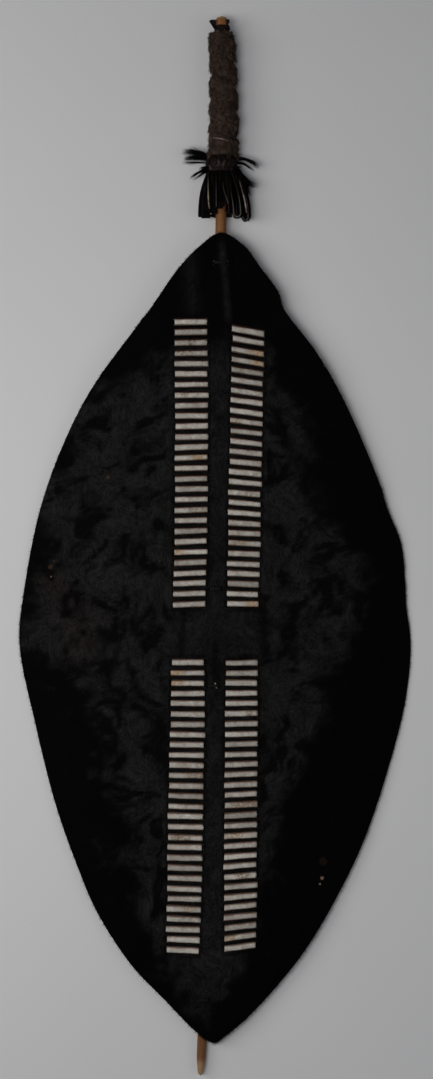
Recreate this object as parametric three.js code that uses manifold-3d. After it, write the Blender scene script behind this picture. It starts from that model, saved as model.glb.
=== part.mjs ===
// A hide shield: a pointed oval of black cowhide carried on a long wooden stick. Four white hide strips are
// laced through rows of slits down the front. Fur is wound round the head of the stick, above a fringe of
// looped hide strips, and thong ties hold the stick to the back of the hide.
//
// The shield lies face up on level ground. X runs across it, Y runs along the stick towards its head, and Z
// is up. All sizes are in millimetres.
import * as THREE from "three";
import { mergeVertices } from "three/addons/utils/BufferGeometryUtils.js";
import Module from "manifold-3d";

const wasm = await Module();
wasm.setup();
const { Manifold, Mesh: SolidMesh } = wasm;

// ---- Driving dimensions ---------------------------------------------------------------------------------

const GAP = 0.35; // between pieces that touch

const STICK = {
  headY: 821, // top of the rounded head
  footY: -821, // end of the whittled point
  headX: 11,
  footX: -22,
  bow: 8.3, // sideways bend at mid length
  headRadius: 9.2,
  footRadius: 6.9,
  domeLength: 9,
  pointLength: 30,
  pointRadius: 3.9,
  stationStep: 230,
  sides: 12,
};
const FUR_REST = { y: 760, axisZ: 20 }; // the stick's height where the fur lies on the ground
const FOOT_REST = { y: -700, axisZ: 9.6 }; // and where the lowest tie does

const HIDE = {
  thickness: 4,
  archFall: 2.37e-4, // the underside falls by this times the square of the distance from the ridge
  overStick: 1.0, // room between the stick and the hide above it
  creases: [-320, -235, -160, -80, 0, 80, 160, 235, 320],
  outlineSamples: 92,
};

// The cut edge of the hide, from its head point down the right side to its foot and up the left side.
const HIDE_EDGE = [
  [10, 484], [43, 466], [73, 428], [98, 393], [106, 369], [157, 301], [200, 227], [256, 98],
  [268, 60], [290, 5], [296, -51], [298, -92], [305, -150], [297, -238], [265, -360], [226, -469],
  [173, -572], [128, -641], [60, -719], [17, -756], [-1, -767], [-26, -752], [-77, -701],
  [-130, -646], [-182, -567], [-212, -498], [-247, -400], [-279, -275], [-304, -150], [-297, -70],
  [-265, 79], [-201, 227], [-122, 338], [-101, 365], [-55, 430], [-20, 466],
];

// Where the hide bows forward, over the hand that grips the stick.
const GRIP_DOME = { x: 10, y: -131, halfWidth: 62, halfLength: 39, rise: 14, columns: 18, rows: 10 };

const STRIP = {
  thickness: 1.4,
  whiteHeight: 8.8, // of one white bar
  tail: 9, // left over behind the hide at each end
  slitOverrun: 0.8, // each slit is longer than the strip is wide
};

// Each column of lacing: its first and last bar's middle, how far it bows to the right between them, the
// number of bars, how far the first and the last bar lean, in degrees anticlockwise, the strip's width at
// its ends and how much wider it is half way.
const COLUMNS = [
  {
    name: "lacing_upper_left", top: [-36.7, 347], foot: [-39.2, -88.2], bow: 2.3, bars: 28,
    lean: [0.5, 2.2], width: 49.6, belly: 0.9,
  },
  {
    name: "lacing_upper_right", top: [51.9, 332.7], foot: [43.6, -88.2], bow: 0, bars: 28,
    lean: [-9.8, -1.4], width: 49.1, belly: 0.5,
  },
  {
    name: "lacing_lower_left", top: [-40.8, -178.5], foot: [-48.8, -622.9], bow: 0.6, bars: 29,
    lean: [0.2, -2.4], width: 49.6, belly: 4.0,
  },
  {
    name: "lacing_lower_right", top: [42, -178.5], foot: [39.1, -617.8], bow: 0, bars: 29,
    lean: [0, 6.6], width: 48.5, belly: 1.6,
  },
];
const BAR_SHIFT = 0.5; // how far a hand-cut bar strays from its place
const BAR_TWIST = 0.7; // and from its lean, in degrees

const TIE = { thickness: 1.9, width: 6, legRoom: 0.6, steps: 6 };
const TIES = [
  { name: "stick_tie_head", y: 438 },
  { name: "stick_tie_above_grip", y: -64 },
  { name: "stick_tie_below_grip", y: -214 },
  { name: "stick_tie_foot", y: -700 },
];

const FUR = {
  headY: 793.5,
  footY: 604,
  headRadius: 21.5,
  footRadius: 25.5,
  turn: 36, // one turn of the wound strip
  seamDepth: 2.8,
  seamWidth: 0.17, // of a turn
  sway: 3.4, // the lower turns are fuller on the right
  sides: 16,
  rows: 21,
  skin: 1, // everything further out than this from the bore is fur
};

const HEAD_TIE = {
  headY: 806,
  footY: 794.5,
  turns: 3,
  thickness: 2.7,
  sides: 12,
  ears: [{ lean: 146, reach: 23 }, { lean: 32, reach: 19 }],
};

const FRINGE = {
  bandHeadY: 603,
  bandFootY: 585,
  bandRadius: 23,
  flatten: 0.56, // the fringe is this much lower than it is wide
  stripWidth: 15,
  stripThickness: 2.2,
  stripSteps: 8,
  bandSides: 14,
  stickWayFootY: 480, // below the lowest loop
};
// One looped strip of the fringe: its angle round the stick from +X, how far down it reaches, how far out.
const FRINGE_STRIPS = [
  [8, 510, 39], [42, 508, 36], [68, 512, 31], [97, 519, 28], [126, 515, 30], [152, 512, 31], [178, 509, 33],
  [212, 512, 32], [252, 515, 29], [288, 513, 30], [332, 511, 38],
];
// Locks of hair that stand out above the fringe: angle of the root, lean in the XY plane, reach, thickness.
const HAIR_LOCKS = [
  [178, 163, 58, 5], [190, 180, 57, 2.6], [170, 206, 52, 4], [3, -14, 56, 4.2], [352, -26, 52, 3.4],
];

// ---- Shared forms ---------------------------------------------------------------------------------------

const lerp = THREE.MathUtils.lerp;
const degrees = THREE.MathUtils.degToRad;

const stickShare = (y) => (y - STICK.footY) / (STICK.headY - STICK.footY);
const stickX = (y) =>
  lerp(STICK.footX, STICK.headX, stickShare(y)) + STICK.bow * 4 * stickShare(y) * (1 - stickShare(y));
const stickRise = (FUR_REST.axisZ - FOOT_REST.axisZ) / (FUR_REST.y - FOOT_REST.y);
const stickZ = (y) => FOOT_REST.axisZ + stickRise * (y - FOOT_REST.y);
const stickRadius = (y) => lerp(STICK.footRadius, STICK.headRadius, stickShare(y));

// Height of the hide's underside: a ridge that follows the stick, and a fall to both sides in flat facets.
const ridgeZ = (y) => stickZ(y) + stickRadius(y) + HIDE.overStick;
function archDrop(x) {
  const i = Math.max(1, HIDE.creases.findIndex((crease) => crease >= x));
  const [a, b] = [HIDE.creases[i - 1], HIDE.creases[i]];
  return HIDE.archFall * lerp(a * a, b * b, (x - a) / (b - a));
}
const underZ = (x, y) => ridgeZ(y) - archDrop(x);

// A repeatable stray from -1 to 1, for what was cut by hand.
function stray(seed) {
  const s = Math.sin(seed * 12.9898) * 43758.5453;
  return 2 * (s - Math.floor(s)) - 1;
}

function solidOf(geometry) {
  const bare = new THREE.BufferGeometry().setAttribute(
    "position",
    (geometry.index ? geometry.toNonIndexed() : geometry).getAttribute("position"),
  );
  const merged = mergeVertices(bare, 1e-4);
  return new Manifold(
    new SolidMesh({
      numProp: 3,
      vertProperties: new Float32Array(merged.getAttribute("position").array),
      triVerts: new Uint32Array(merged.index.array),
    }),
  );
}

function geometryOf(solid) {
  const mesh = solid.getMesh();
  const geometry = new THREE.BufferGeometry();
  geometry.setAttribute("position", new THREE.BufferAttribute(mesh.vertProperties, 3));
  geometry.setIndex(new THREE.BufferAttribute(mesh.triVerts, 1));
  geometry.computeVertexNormals();
  return geometry;
}

// Moves every vertex of a geometry by place(point), which changes the point it is given.
function warp(geometry, place) {
  const position = geometry.getAttribute("position");
  const point = new THREE.Vector3();
  for (let i = 0; i < position.count; i++) {
    place(point.fromBufferAttribute(position, i));
    position.setXYZ(i, point.x, point.y, point.z);
  }
  return geometry;
}

const extrude = (shape, depth) => new THREE.ExtrudeGeometry(shape, { depth, bevelEnabled: false });

// A form turned about the stick's own line: radii at heights along Y. It is then bent to the stick's bow
// and slope.
function turnedOnStick(profile, sides) {
  const points = profile.map(([radius, y]) => new THREE.Vector2(radius, y));
  return new THREE.LatheGeometry(points, sides);
}
const followStick = (p) => {
  p.x += stickX(p.y);
  p.z += stickZ(p.y);
};

// ---- The stick ------------------------------------------------------------------------------------------

function stickGeometry() {
  const { headY, footY, domeLength, pointLength, pointRadius, stationStep } = STICK;
  const profile = [[0, footY], [pointRadius, footY], [pointRadius + 1.6, footY + pointLength * 0.45]];
  profile.push([stickRadius(footY) * 0.97, footY + pointLength * 0.8]);
  for (let y = footY + pointLength; y < headY - domeLength; y += stationStep) {
    profile.push([stickRadius(y), y]);
  }
  for (const angle of [0, 30, 60]) {
    const radius = stickRadius(headY) * Math.cos(degrees(angle) * 0.95);
    profile.push([radius, headY - domeLength + domeLength * Math.sin(degrees(angle))]);
  }
  profile.push([0, headY]);
  return warp(turnedOnStick(profile, STICK.sides), followStick);
}

// ---- The hide -------------------------------------------------------------------------------------------

function hideOutline() {
  const corners = HIDE_EDGE.map(([x, y]) => new THREE.Vector3(x, y, 0));
  const edge = new THREE.CatmullRomCurve3(corners, true, "centripetal");
  return edge.getSpacedPoints(HIDE.outlineSamples).slice(0, -1).map((p) => new THREE.Vector2(p.x, p.y));
}

// A block whose underside is the hide's own, and whose top is a given height above it.
function archedBlock(height) {
  const under = HIDE.creases.map((x) => new THREE.Vector2(x, -archDrop(x)));
  const over = under.map((p) => new THREE.Vector2(p.x, p.y + height)).reverse();
  const slope = ridgeZ(1) - ridgeZ(0);
  const block = extrude(new THREE.Shape([...under, ...over]), 2 * STICK.headY);
  block.rotateX(Math.PI / 2).translate(0, STICK.headY, 0);
  return warp(block, (p) => {
    p.z += ridgeZ(0) + slope * p.y;
  });
}

// Half a hollow egg, standing on the hide's underside.
function gripDome(inset) {
  const { x, y, halfWidth, halfLength, rise, columns, rows } = GRIP_DOME;
  const egg = new THREE.SphereGeometry(1, columns, rows).rotateX(Math.PI / 2);
  egg.scale(halfWidth - inset, halfLength - inset, rise + HIDE.thickness - inset);
  return egg.translate(x, y, underZ(x, y));
}

function slitCutter(crossing) {
  const slit = new THREE.BoxGeometry(
    crossing.width + 2 * STRIP.slitOverrun,
    STRIP.thickness + 2 * GAP,
    6 * HIDE.thickness,
  );
  slit.rotateZ(crossing.lean).translate(crossing.x, crossing.y, underZ(crossing.x, crossing.y));
  return solidOf(slit);
}

function tieHoleCutters(tie) {
  const legX = tieLegX(tie);
  const hole = () =>
    new THREE.BoxGeometry(TIE.thickness + 2 * GAP, TIE.width + 2 * GAP, 6 * HIDE.thickness);
  return [-1, 1].map((side) =>
    solidOf(hole().translate(stickX(tie.y) + side * legX, tie.y, underZ(stickX(tie.y), tie.y))),
  );
}

function hideGeometry() {
  const outline = extrude(new THREE.Shape(hideOutline()), 120).translate(0, 0, -40);
  const sheet = solidOf(archedBlock(HIDE.thickness)).intersect(solidOf(outline));
  const dome = solidOf(gripDome(0)).intersect(solidOf(archedBlock(60)));
  const slits = COLUMNS.flatMap((column) => crossingsOf(column).map(slitCutter));
  const holes = TIES.flatMap(tieHoleCutters);
  const cutters = Manifold.union([solidOf(gripDome(HIDE.thickness)), ...slits, ...holes]);
  return geometryOf(sheet.add(dome).subtract(cutters));
}

// ---- The lacing -----------------------------------------------------------------------------------------

// The places where a strip goes through the hide, two for each bar, from the top of its column down.
function crossingsOf({ top, foot, bow, bars, lean, width, belly }) {
  const crossings = [];
  const legToLeg = STRIP.whiteHeight - STRIP.thickness;
  for (let bar = 0; bar < bars; bar++) {
    const share = bar / (bars - 1);
    const y = lerp(top[1], foot[1], share) + BAR_SHIFT * stray(bar + top[0]);
    const middling = 4 * share * (1 - share);
    const place = {
      x: lerp(top[0], foot[0], share) + bow * middling,
      lean: degrees(lerp(lean[0], lean[1], share) + BAR_TWIST * stray(bar + foot[0])),
      width: width + belly * middling,
    };
    crossings.push({ ...place, y: y + legToLeg / 2 }, { ...place, y: y - legToLeg / 2 });
  }
  return crossings;
}

// The strip's long section, in front of the hide at each bar and behind it between bars.
function stripSection(crossings) {
  const front = HIDE.thickness + GAP + STRIP.thickness / 2;
  const back = -GAP - STRIP.thickness / 2;
  const line = [new THREE.Vector2(crossings[0].y + STRIP.tail, back)];
  crossings.forEach(({ y }, i) => {
    const levels = i % 2 ? [front, back] : [back, front];
    levels.forEach((level) => line.push(new THREE.Vector2(y, level)));
  });
  line.push(new THREE.Vector2(crossings.at(-1).y - STRIP.tail, back));

  const square = (i) => {
    const along = line[i + 1].clone().sub(line[i]).normalize();
    return new THREE.Vector2(-along.y, along.x);
  };
  const side = (sign) =>
    line.map((point, i) => {
      const offset = i === 0 ? square(0) : square(Math.min(i, line.length - 2));
      if (i > 0 && i < line.length - 1) offset.add(square(i - 1));
      return point.clone().addScaledVector(offset, (sign * STRIP.thickness) / 2);
    });
  return new THREE.Shape([...side(1), ...side(-1).reverse()]);
}

function stripGeometry(column) {
  const crossings = crossingsOf(column);
  const nearest = (y) =>
    crossings.reduce((best, next) => (Math.abs(next.y - y) < Math.abs(best.y - y) ? next : best));
  const strip = extrude(stripSection(crossings), 1).translate(0, 0, -0.5);
  return warp(strip, (p) => {
    const { x, lean, width } = nearest(p.x);
    const [along, level, across] = [p.x, p.y, p.z * width];
    p.x = x + across * Math.cos(lean);
    p.y = along + across * Math.sin(lean);
    p.z = underZ(p.x, p.y) + level;
  });
}

// ---- The ties that hold the stick -----------------------------------------------------------------------

const tieLegX = ({ y }) => stickRadius(y) + TIE.legRoom + TIE.thickness / 2;

// One edge of the tie's ring in the XZ plane, about the stick's line: round below, square above the hide.
function tieEdge(tie, offset) {
  const radius = tieLegX(tie) + offset;
  const topZ = underZ(0, tie.y) - stickZ(tie.y) + HIDE.thickness + GAP + TIE.thickness / 2 + offset;
  const edge = [new THREE.Vector2(radius, topZ), new THREE.Vector2(-radius, topZ)];
  for (let step = 0; step <= TIE.steps; step++) {
    const angle = Math.PI * (1 + step / TIE.steps);
    edge.push(new THREE.Vector2(radius * Math.cos(angle), radius * Math.sin(angle)));
  }
  return edge;
}

function tieGeometry(tie) {
  const ring = new THREE.Shape(tieEdge(tie, TIE.thickness / 2));
  ring.holes.push(new THREE.Path(tieEdge(tie, -TIE.thickness / 2)));
  const band = extrude(ring, TIE.width).rotateX(Math.PI / 2);
  return band.translate(stickX(tie.y), tie.y + TIE.width / 2, stickZ(tie.y));
}

// ---- The dressing of the stick's head -------------------------------------------------------------------

const boreRadius = (y, sides) => (stickRadius(y) + GAP) / Math.cos(Math.PI / sides);
const onGround = (p) => {
  p.z = Math.max(p.z, 0);
};

// Fur wound in a rising spiral: the seam between turns is a groove round the outside.
function furGeometry() {
  const { headY, footY, headRadius, footRadius, turn, seamDepth, seamWidth, sway, sides, rows, skin } = FUR;
  const ends = [boreRadius(headY, sides), boreRadius(footY, sides)];
  const profile = [[ends[0], headY], [ends[1], footY]];
  for (let row = 0; row <= rows; row++) {
    const y = lerp(footY, headY, row / rows);
    const rounding = 3.5 * Math.max(0, 1 - Math.min(row, rows - row) / 2);
    profile.push([lerp(footRadius, headRadius, row / rows) - rounding, y]);
  }
  profile.push(profile[0]);
  return warp(turnedOnStick(profile, sides), (p) => {
    const outer = Math.hypot(p.x, p.z) > Math.max(...ends) + skin;
    const phase = (p.y - footY) / turn - Math.atan2(p.z, p.x) / (2 * Math.PI);
    const fromSeam = Math.abs(phase - Math.round(phase)) / seamWidth;
    const scale = outer ? 1 - (seamDepth * Math.exp(-fromSeam * fromSeam)) / Math.hypot(p.x, p.z) : 1;
    p.x *= scale;
    p.z *= scale;
    if (outer) p.x += sway * Math.sin(Math.PI * Math.sqrt((p.y - footY) / (headY - footY)));
    followStick(p);
    onGround(p);
  });
}

// The room that a piece wound round the stick leaves for it.
function stickWay(headY, footY, sides) {
  const bore = boreRadius(headY, sides);
  const way = turnedOnStick([[0, footY], [bore, footY], [bore, headY], [0, headY]], sides);
  return solidOf(warp(way, followStick));
}

// A short cone from the stick's line to a point that stands out sideways.
function spike(baseY, angle, lean, reach, thickness, rootReach) {
  const cone = new THREE.ConeGeometry(thickness, reach - rootReach, 6);
  cone.scale(1.5, 1, 1).translate(0, (reach + rootReach) / 2, 0);
  cone.rotateZ(degrees(lean) - Math.PI / 2);
  const lift = Math.sin(degrees(angle)) * FRINGE.bandRadius * FRINGE.flatten;
  return cone.translate(stickX(baseY), baseY, stickZ(baseY) + lift);
}

function headTieGeometry() {
  const { headY, footY, turns, thickness, sides, ears } = HEAD_TIE;
  const bulges = Array.from({ length: 2 * turns + 1 }, (_, half) => [
    boreRadius(headY, sides) + thickness * (half % 2 ? 1 : 0.55),
    lerp(footY, headY, half / (2 * turns)),
  ]);
  const wrap = warp(turnedOnStick([[0, footY], ...bulges, [0, headY]], sides), followStick);
  const points = ears.map(({ lean, reach }) => spike((headY + footY) / 2, 0, lean, reach, 3, 4));
  const whole = Manifold.union([wrap, ...points].map(solidOf));
  return geometryOf(whole.subtract(stickWay(headY + 9, footY - 9, sides)));
}

// One strip of the fringe: down from the band, round a loop, and back up inside itself. It is gathered in
// where it is tied.
function fringeStrip([angle, footY, reach]) {
  const { bandFootY, bandHeadY, bandRadius, stripThickness, stripWidth, stripSteps, flatten } = FRINGE;
  const inner = reach - 8;
  const route = new THREE.CatmullRomCurve3(
    [
      [bandRadius - 5, bandHeadY - 6], [bandRadius + 3, bandFootY - 6], [reach, lerp(bandFootY, footY, 0.6)],
      [reach - 0.5, footY + 6], [reach - 4, footY + stripThickness / 2], [inner, footY + 6],
      [inner - 3, lerp(bandFootY, footY, 0.6)], [bandRadius - 6, bandFootY + 4],
    ].map(([radius, y]) => new THREE.Vector3(radius, y, 0)),
  );
  const side = (sign) =>
    Array.from({ length: stripSteps + 1 }, (_, i) => {
      const tangent = route.getTangent(i / stripSteps);
      const point = route.getPoint(i / stripSteps);
      const reachOut = (sign * stripThickness) / 2;
      return new THREE.Vector2(point.x - tangent.y * reachOut, point.y + tangent.x * reachOut);
    });
  const strip = extrude(new THREE.Shape([...side(1), ...side(-1).reverse()]), stripWidth);
  warp(strip.translate(0, 0, -stripWidth / 2), (p) => {
    p.z *= THREE.MathUtils.mapLinear(Math.max(p.y, bandFootY - 40), bandHeadY, bandFootY - 40, 0.4, 1);
  });
  strip.rotateY(-degrees(angle)).scale(1, 1, flatten);
  return solidOf(warp(strip, followStick));
}

function fringeGeometry() {
  const { bandHeadY, bandFootY, bandRadius, bandSides, stickWayFootY } = FRINGE;
  const middleY = (bandHeadY + bandFootY) / 2;
  const bandProfile = [
    [0, bandFootY], [bandRadius, bandFootY], [bandRadius + 1.5, middleY], [bandRadius, bandHeadY],
    [0, bandHeadY],
  ];
  const band = warp(turnedOnStick(bandProfile, bandSides), followStick);
  const locks = HAIR_LOCKS.map(([angle, lean, reach, thickness]) =>
    spike(middleY - 3, angle, lean, reach, thickness, 12),
  );
  const onFloor = [band, ...locks].map((piece) => solidOf(warp(piece, onGround)));
  const whole = Manifold.union([...onFloor, ...FRINGE_STRIPS.map(fringeStrip)]);
  return geometryOf(whole.subtract(stickWay(bandHeadY + 9, stickWayFootY, bandSides)));
}

// ---- The whole shield -----------------------------------------------------------------------------------

const finish = (color, roughness) => new THREE.MeshStandardMaterial({ color, roughness, metalness: 0 });
const BLACK_HIDE = finish(0x17161a, 0.5);
const WHITE_HIDE = finish(0xc9c2b4, 0.75);
const WOOD = finish(0x8a5c37, 0.6);
const BROWN_FUR = finish(0x4a3b31, 0.9);
const BLACK_HAIR = finish(0x151314, 0.7);
const DARK_THONG = finish(0x241d19, 0.8);

const shield = new THREE.Group();
function add(name, geometry, material) {
  const mesh = new THREE.Mesh(geometry, material);
  mesh.name = name;
  shield.add(mesh);
}

add("stick", stickGeometry(), WOOD);
add("hide", hideGeometry(), BLACK_HIDE);
COLUMNS.forEach((column) => add(column.name, stripGeometry(column), WHITE_HIDE));
TIES.forEach((tie) => add(tie.name, tieGeometry(tie), DARK_THONG));
add("fur_wrap", furGeometry(), BROWN_FUR);
add("fringe", fringeGeometry(), BLACK_HAIR);
add("head_tie", headTieGeometry(), DARK_THONG);

// The origin is on the ground, under the middle of the whole shield.
const extent = new THREE.Box3().setFromObject(shield);
const middle = extent.getCenter(new THREE.Vector3());
shield.position.set(-middle.x, -middle.y, -extent.min.z);

export default shield;
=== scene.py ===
"""A black hide shield on its stick, lying face up on a pale floor.

Pieces are shaped in millimetres, in the frame's own place, and are brought to metres when they are finished.
X runs across the shield, Y runs along the stick towards its head and Z is up.
"""

import math

import bmesh
import bpy
import numpy as np
from mathutils import Matrix, Vector, noise


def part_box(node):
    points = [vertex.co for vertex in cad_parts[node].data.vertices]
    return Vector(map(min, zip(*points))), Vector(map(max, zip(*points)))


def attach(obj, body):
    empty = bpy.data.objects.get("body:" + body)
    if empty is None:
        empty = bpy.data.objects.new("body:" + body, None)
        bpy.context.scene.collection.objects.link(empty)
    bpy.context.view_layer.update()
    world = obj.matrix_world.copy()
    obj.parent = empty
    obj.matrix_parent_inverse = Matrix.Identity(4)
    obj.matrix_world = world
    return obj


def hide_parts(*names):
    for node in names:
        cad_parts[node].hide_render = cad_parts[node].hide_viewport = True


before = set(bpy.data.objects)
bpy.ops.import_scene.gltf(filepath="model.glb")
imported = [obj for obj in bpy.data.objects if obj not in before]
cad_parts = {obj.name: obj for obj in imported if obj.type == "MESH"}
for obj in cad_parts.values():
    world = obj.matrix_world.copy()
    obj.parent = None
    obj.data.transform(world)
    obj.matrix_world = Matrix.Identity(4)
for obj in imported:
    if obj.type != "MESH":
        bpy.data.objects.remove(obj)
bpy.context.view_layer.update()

MM = 0.001
chance = np.random.default_rng(1879)

# ---- Sizes that the whole shield is worked out from ----------------------------------------------------------

STICK_HEAD_Y, STICK_FOOT_Y = 821.0, -821.0
STICK_HEAD_X, STICK_FOOT_X = 11.0, -22.0
STICK_BOW = 8.3
STICK_HEAD_RADIUS, STICK_FOOT_RADIUS = 9.2, 6.9
FUR_REST_Y, FUR_REST_Z = 760.0, 20.0
FOOT_REST_Y, FOOT_REST_Z = -700.0, 9.6

HIDE_THICKNESS = 4.0
ARCH_FALL = 2.37e-4
OVER_STICK = 1.0
GRIP_X, GRIP_Y, GRIP_RISE = 10.0, -131.0, 14.0

HIDE_EDGE = [
    (10, 484), (43, 466), (73, 428), (98, 393), (106, 369), (157, 301), (200, 227), (256, 98), (268, 60),
    (290, 5), (296, -51), (298, -92), (305, -150), (297, -238), (265, -360), (226, -469), (173, -572),
    (128, -641), (60, -719), (17, -756), (-1, -767), (-26, -752), (-77, -701), (-130, -646), (-182, -567),
    (-212, -498), (-247, -400), (-279, -275), (-304, -150), (-297, -70), (-265, 79), (-201, 227),
    (-122, 338), (-101, 365), (-55, 430), (-20, 466),
]  # fmt: skip

STRIP_THICKNESS, STRIP_GAP = 1.4, 0.35
BAR_HEIGHT = 8.8
# Middle of the first and the last bar, the bow to the right between them, number of bars, lean of the first and
# the last bar, the strip's width at its ends and how much wider it is half way.
COLUMNS = {
    "lacing_upper_left": ((-36.7, 347), (-39.2, -88.2), 2.3, 28, (0.5, 2.2), 49.6, 0.9),
    "lacing_upper_right": ((51.9, 332.7), (43.6, -88.2), 0, 28, (-9.8, -1.4), 49.1, 0.5),
    "lacing_lower_left": ((-40.8, -178.5), (-48.8, -622.9), 0.6, 29, (0.2, -2.4), 49.6, 4.0),
    "lacing_lower_right": ((42, -178.5), (39.1, -617.8), 0, 29, (0, 6.6), 48.5, 1.6),
}
BAR_SHIFT, BAR_TWIST = 0.5, 0.7

TIES = {
    "stick_tie_head": 438.0,
    "stick_tie_above_grip": -64.0,
    "stick_tie_below_grip": -214.0,
    "stick_tie_foot": -700.0,
}
TIE_THICKNESS, TIE_WIDTH, TIE_ROOM = 1.9, 6.0, 0.6

FUR_HEAD_Y, FUR_FOOT_Y = 793.5, 604.0
FUR_HEAD_RADIUS, FUR_FOOT_RADIUS = 21.5, 25.5
FUR_TURN = 36.0
FUR_SWAY = 3.4

BAND_HEAD_Y, BAND_FOOT_Y, BAND_RADIUS = 603.0, 585.0, 23.0
FRINGE_FLATTEN = 0.56


def box_mm(node):
    low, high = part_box(node)
    return np.array(low) / MM, np.array(high) / MM


def lerp(a, b, share):
    return a + (b - a) * share


def smooth(share):
    share = np.clip(share, 0, 1)
    return share * share * (3 - 2 * share)


# The head tie of the stick is centred on the stick's line, and the top of the grip's bow is the highest point of
# the hide: together they say how far the frame is moved from the sizes above.
def line_x(y):
    share = (y - STICK_FOOT_Y) / (STICK_HEAD_Y - STICK_FOOT_Y)
    return lerp(STICK_FOOT_X, STICK_HEAD_X, share) + STICK_BOW * 4 * share * (1 - share)


def line_z(y):
    return lerp(FOOT_REST_Z, FUR_REST_Z, (y - FOOT_REST_Y) / (FUR_REST_Y - FOOT_REST_Y))


def stick_radius(y):
    return lerp(STICK_FOOT_RADIUS, STICK_HEAD_RADIUS, (y - STICK_FOOT_Y) / (STICK_HEAD_Y - STICK_FOOT_Y))


def arch_z(x, y):
    return line_z(y) + stick_radius(y) + OVER_STICK - ARCH_FALL * x * x


MOVED_X = box_mm("stick_tie_head")[0][0] / 2 + box_mm("stick_tie_head")[1][0] / 2 - line_x(TIES["stick_tie_head"])
MOVED_Z = box_mm("hide")[1][2] - (arch_z(GRIP_X, GRIP_Y) + GRIP_RISE + HIDE_THICKNESS)


def stick_x(y):
    return line_x(y) + MOVED_X


def stick_z(y):
    return line_z(y) + MOVED_Z


# ---- Tools for making meshes ---------------------------------------------------------------------------------


def finish_mesh(bm, name, materials, replaces=(), sharp=None):
    """Makes a piece of a bmesh in millimetres, with its place in its mesh."""
    bmesh.ops.scale(bm, vec=(MM, MM, MM), verts=bm.verts)
    mesh = bpy.data.meshes.new(name)
    bm.to_mesh(mesh)
    bm.free()
    return finish_piece(mesh, name, materials, replaces, sharp)


def finish_piece(mesh, name, materials, replaces=(), sharp=None):
    mesh.name = name
    mesh.materials.clear()
    for material in materials:
        mesh.materials.append(material)
    mesh.shade_smooth()
    if sharp is not None:
        mesh.set_sharp_from_angle(angle=math.radians(sharp))
    piece = bpy.data.objects.new(name, mesh)
    bpy.context.scene.collection.objects.link(piece)
    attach(piece, "root")
    if replaces:
        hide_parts(*replaces)
    return piece


def places_of(bm):
    return np.array([v.co[:] for v in bm.verts])


def places_of_mesh(piece):
    places = np.empty(len(piece.data.vertices) * 3)
    piece.data.vertices.foreach_get("co", places)
    return places.reshape(-1, 3) / MM


def move_to(bm, places):
    for vert, place in zip(bm.verts, places):
        vert.co = place


def sheet_mesh(columns, rows, place):
    """A grid whose points place(across, along) moves, both from 0 to 1."""
    bm = bmesh.new()
    bmesh.ops.create_grid(bm, x_segments=columns, y_segments=rows, size=0.5)
    at = places_of(bm) + 0.5
    move_to(bm, place(at[:, 0], at[:, 1]))
    return bm


def tube_mesh(sides, stations, place, closed=False):
    """A grid wrapped round into a tube, with its seam joined and its ends filled."""
    bm = sheet_mesh(sides, stations, place)
    bmesh.ops.remove_doubles(bm, verts=bm.verts, dist=1e-3)
    if not closed:
        bmesh.ops.holes_fill(bm, edges=[e for e in bm.edges if e.is_boundary], sides=0)
    bmesh.ops.recalc_face_normals(bm, faces=bm.faces)
    return bm


def join(*parts):
    """Puts several bmeshes into the first one."""
    whole = parts[0]
    for part in parts[1:]:
        mesh = bpy.data.meshes.new("part")
        part.to_mesh(mesh)
        part.free()
        whole.from_mesh(mesh)
        bpy.data.meshes.remove(mesh)
    return whole


def mesh_of(bm, name):
    mesh = bpy.data.meshes.new(name)
    bm.to_mesh(mesh)
    bm.free()
    return mesh


def cut(base, cutter, operation):
    """The mesh that is left when a base mesh is cut by another."""
    objects = [bpy.data.objects.new(mesh.name, mesh) for mesh in (base, cutter)]
    for thing in objects:
        bpy.context.scene.collection.objects.link(thing)
    modifier = objects[0].modifiers.new("cut", "BOOLEAN")
    modifier.operation = operation
    modifier.solver = "MANIFOLD"
    modifier.object = objects[1]
    shown = objects[0].evaluated_get(bpy.context.evaluated_depsgraph_get())
    result = bpy.data.meshes.new_from_object(shown)
    for thing in objects:
        mesh = thing.data
        bpy.data.objects.remove(thing)
        bpy.data.meshes.remove(mesh)
    return result


def along_path(points, share):
    """Places on a path of points, at shares of its length, and its direction there."""
    points = np.asarray(points, float)
    steps = np.linalg.norm(np.diff(points, axis=0), axis=1)
    reached = np.concatenate([[0], np.cumsum(steps)])
    at = np.clip(share, 0, 1) * reached[-1]
    places = np.stack([np.interp(at, reached, points[:, i]) for i in range(3)], axis=1)
    ahead = np.stack([np.interp(at + 0.3, reached, points[:, i]) for i in range(3)], axis=1)
    behind = np.stack([np.interp(at - 0.3, reached, points[:, i]) for i in range(3)], axis=1)
    way = ahead - behind
    return places, way / np.maximum(np.linalg.norm(way, axis=1, keepdims=True), 1e-9)


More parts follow.
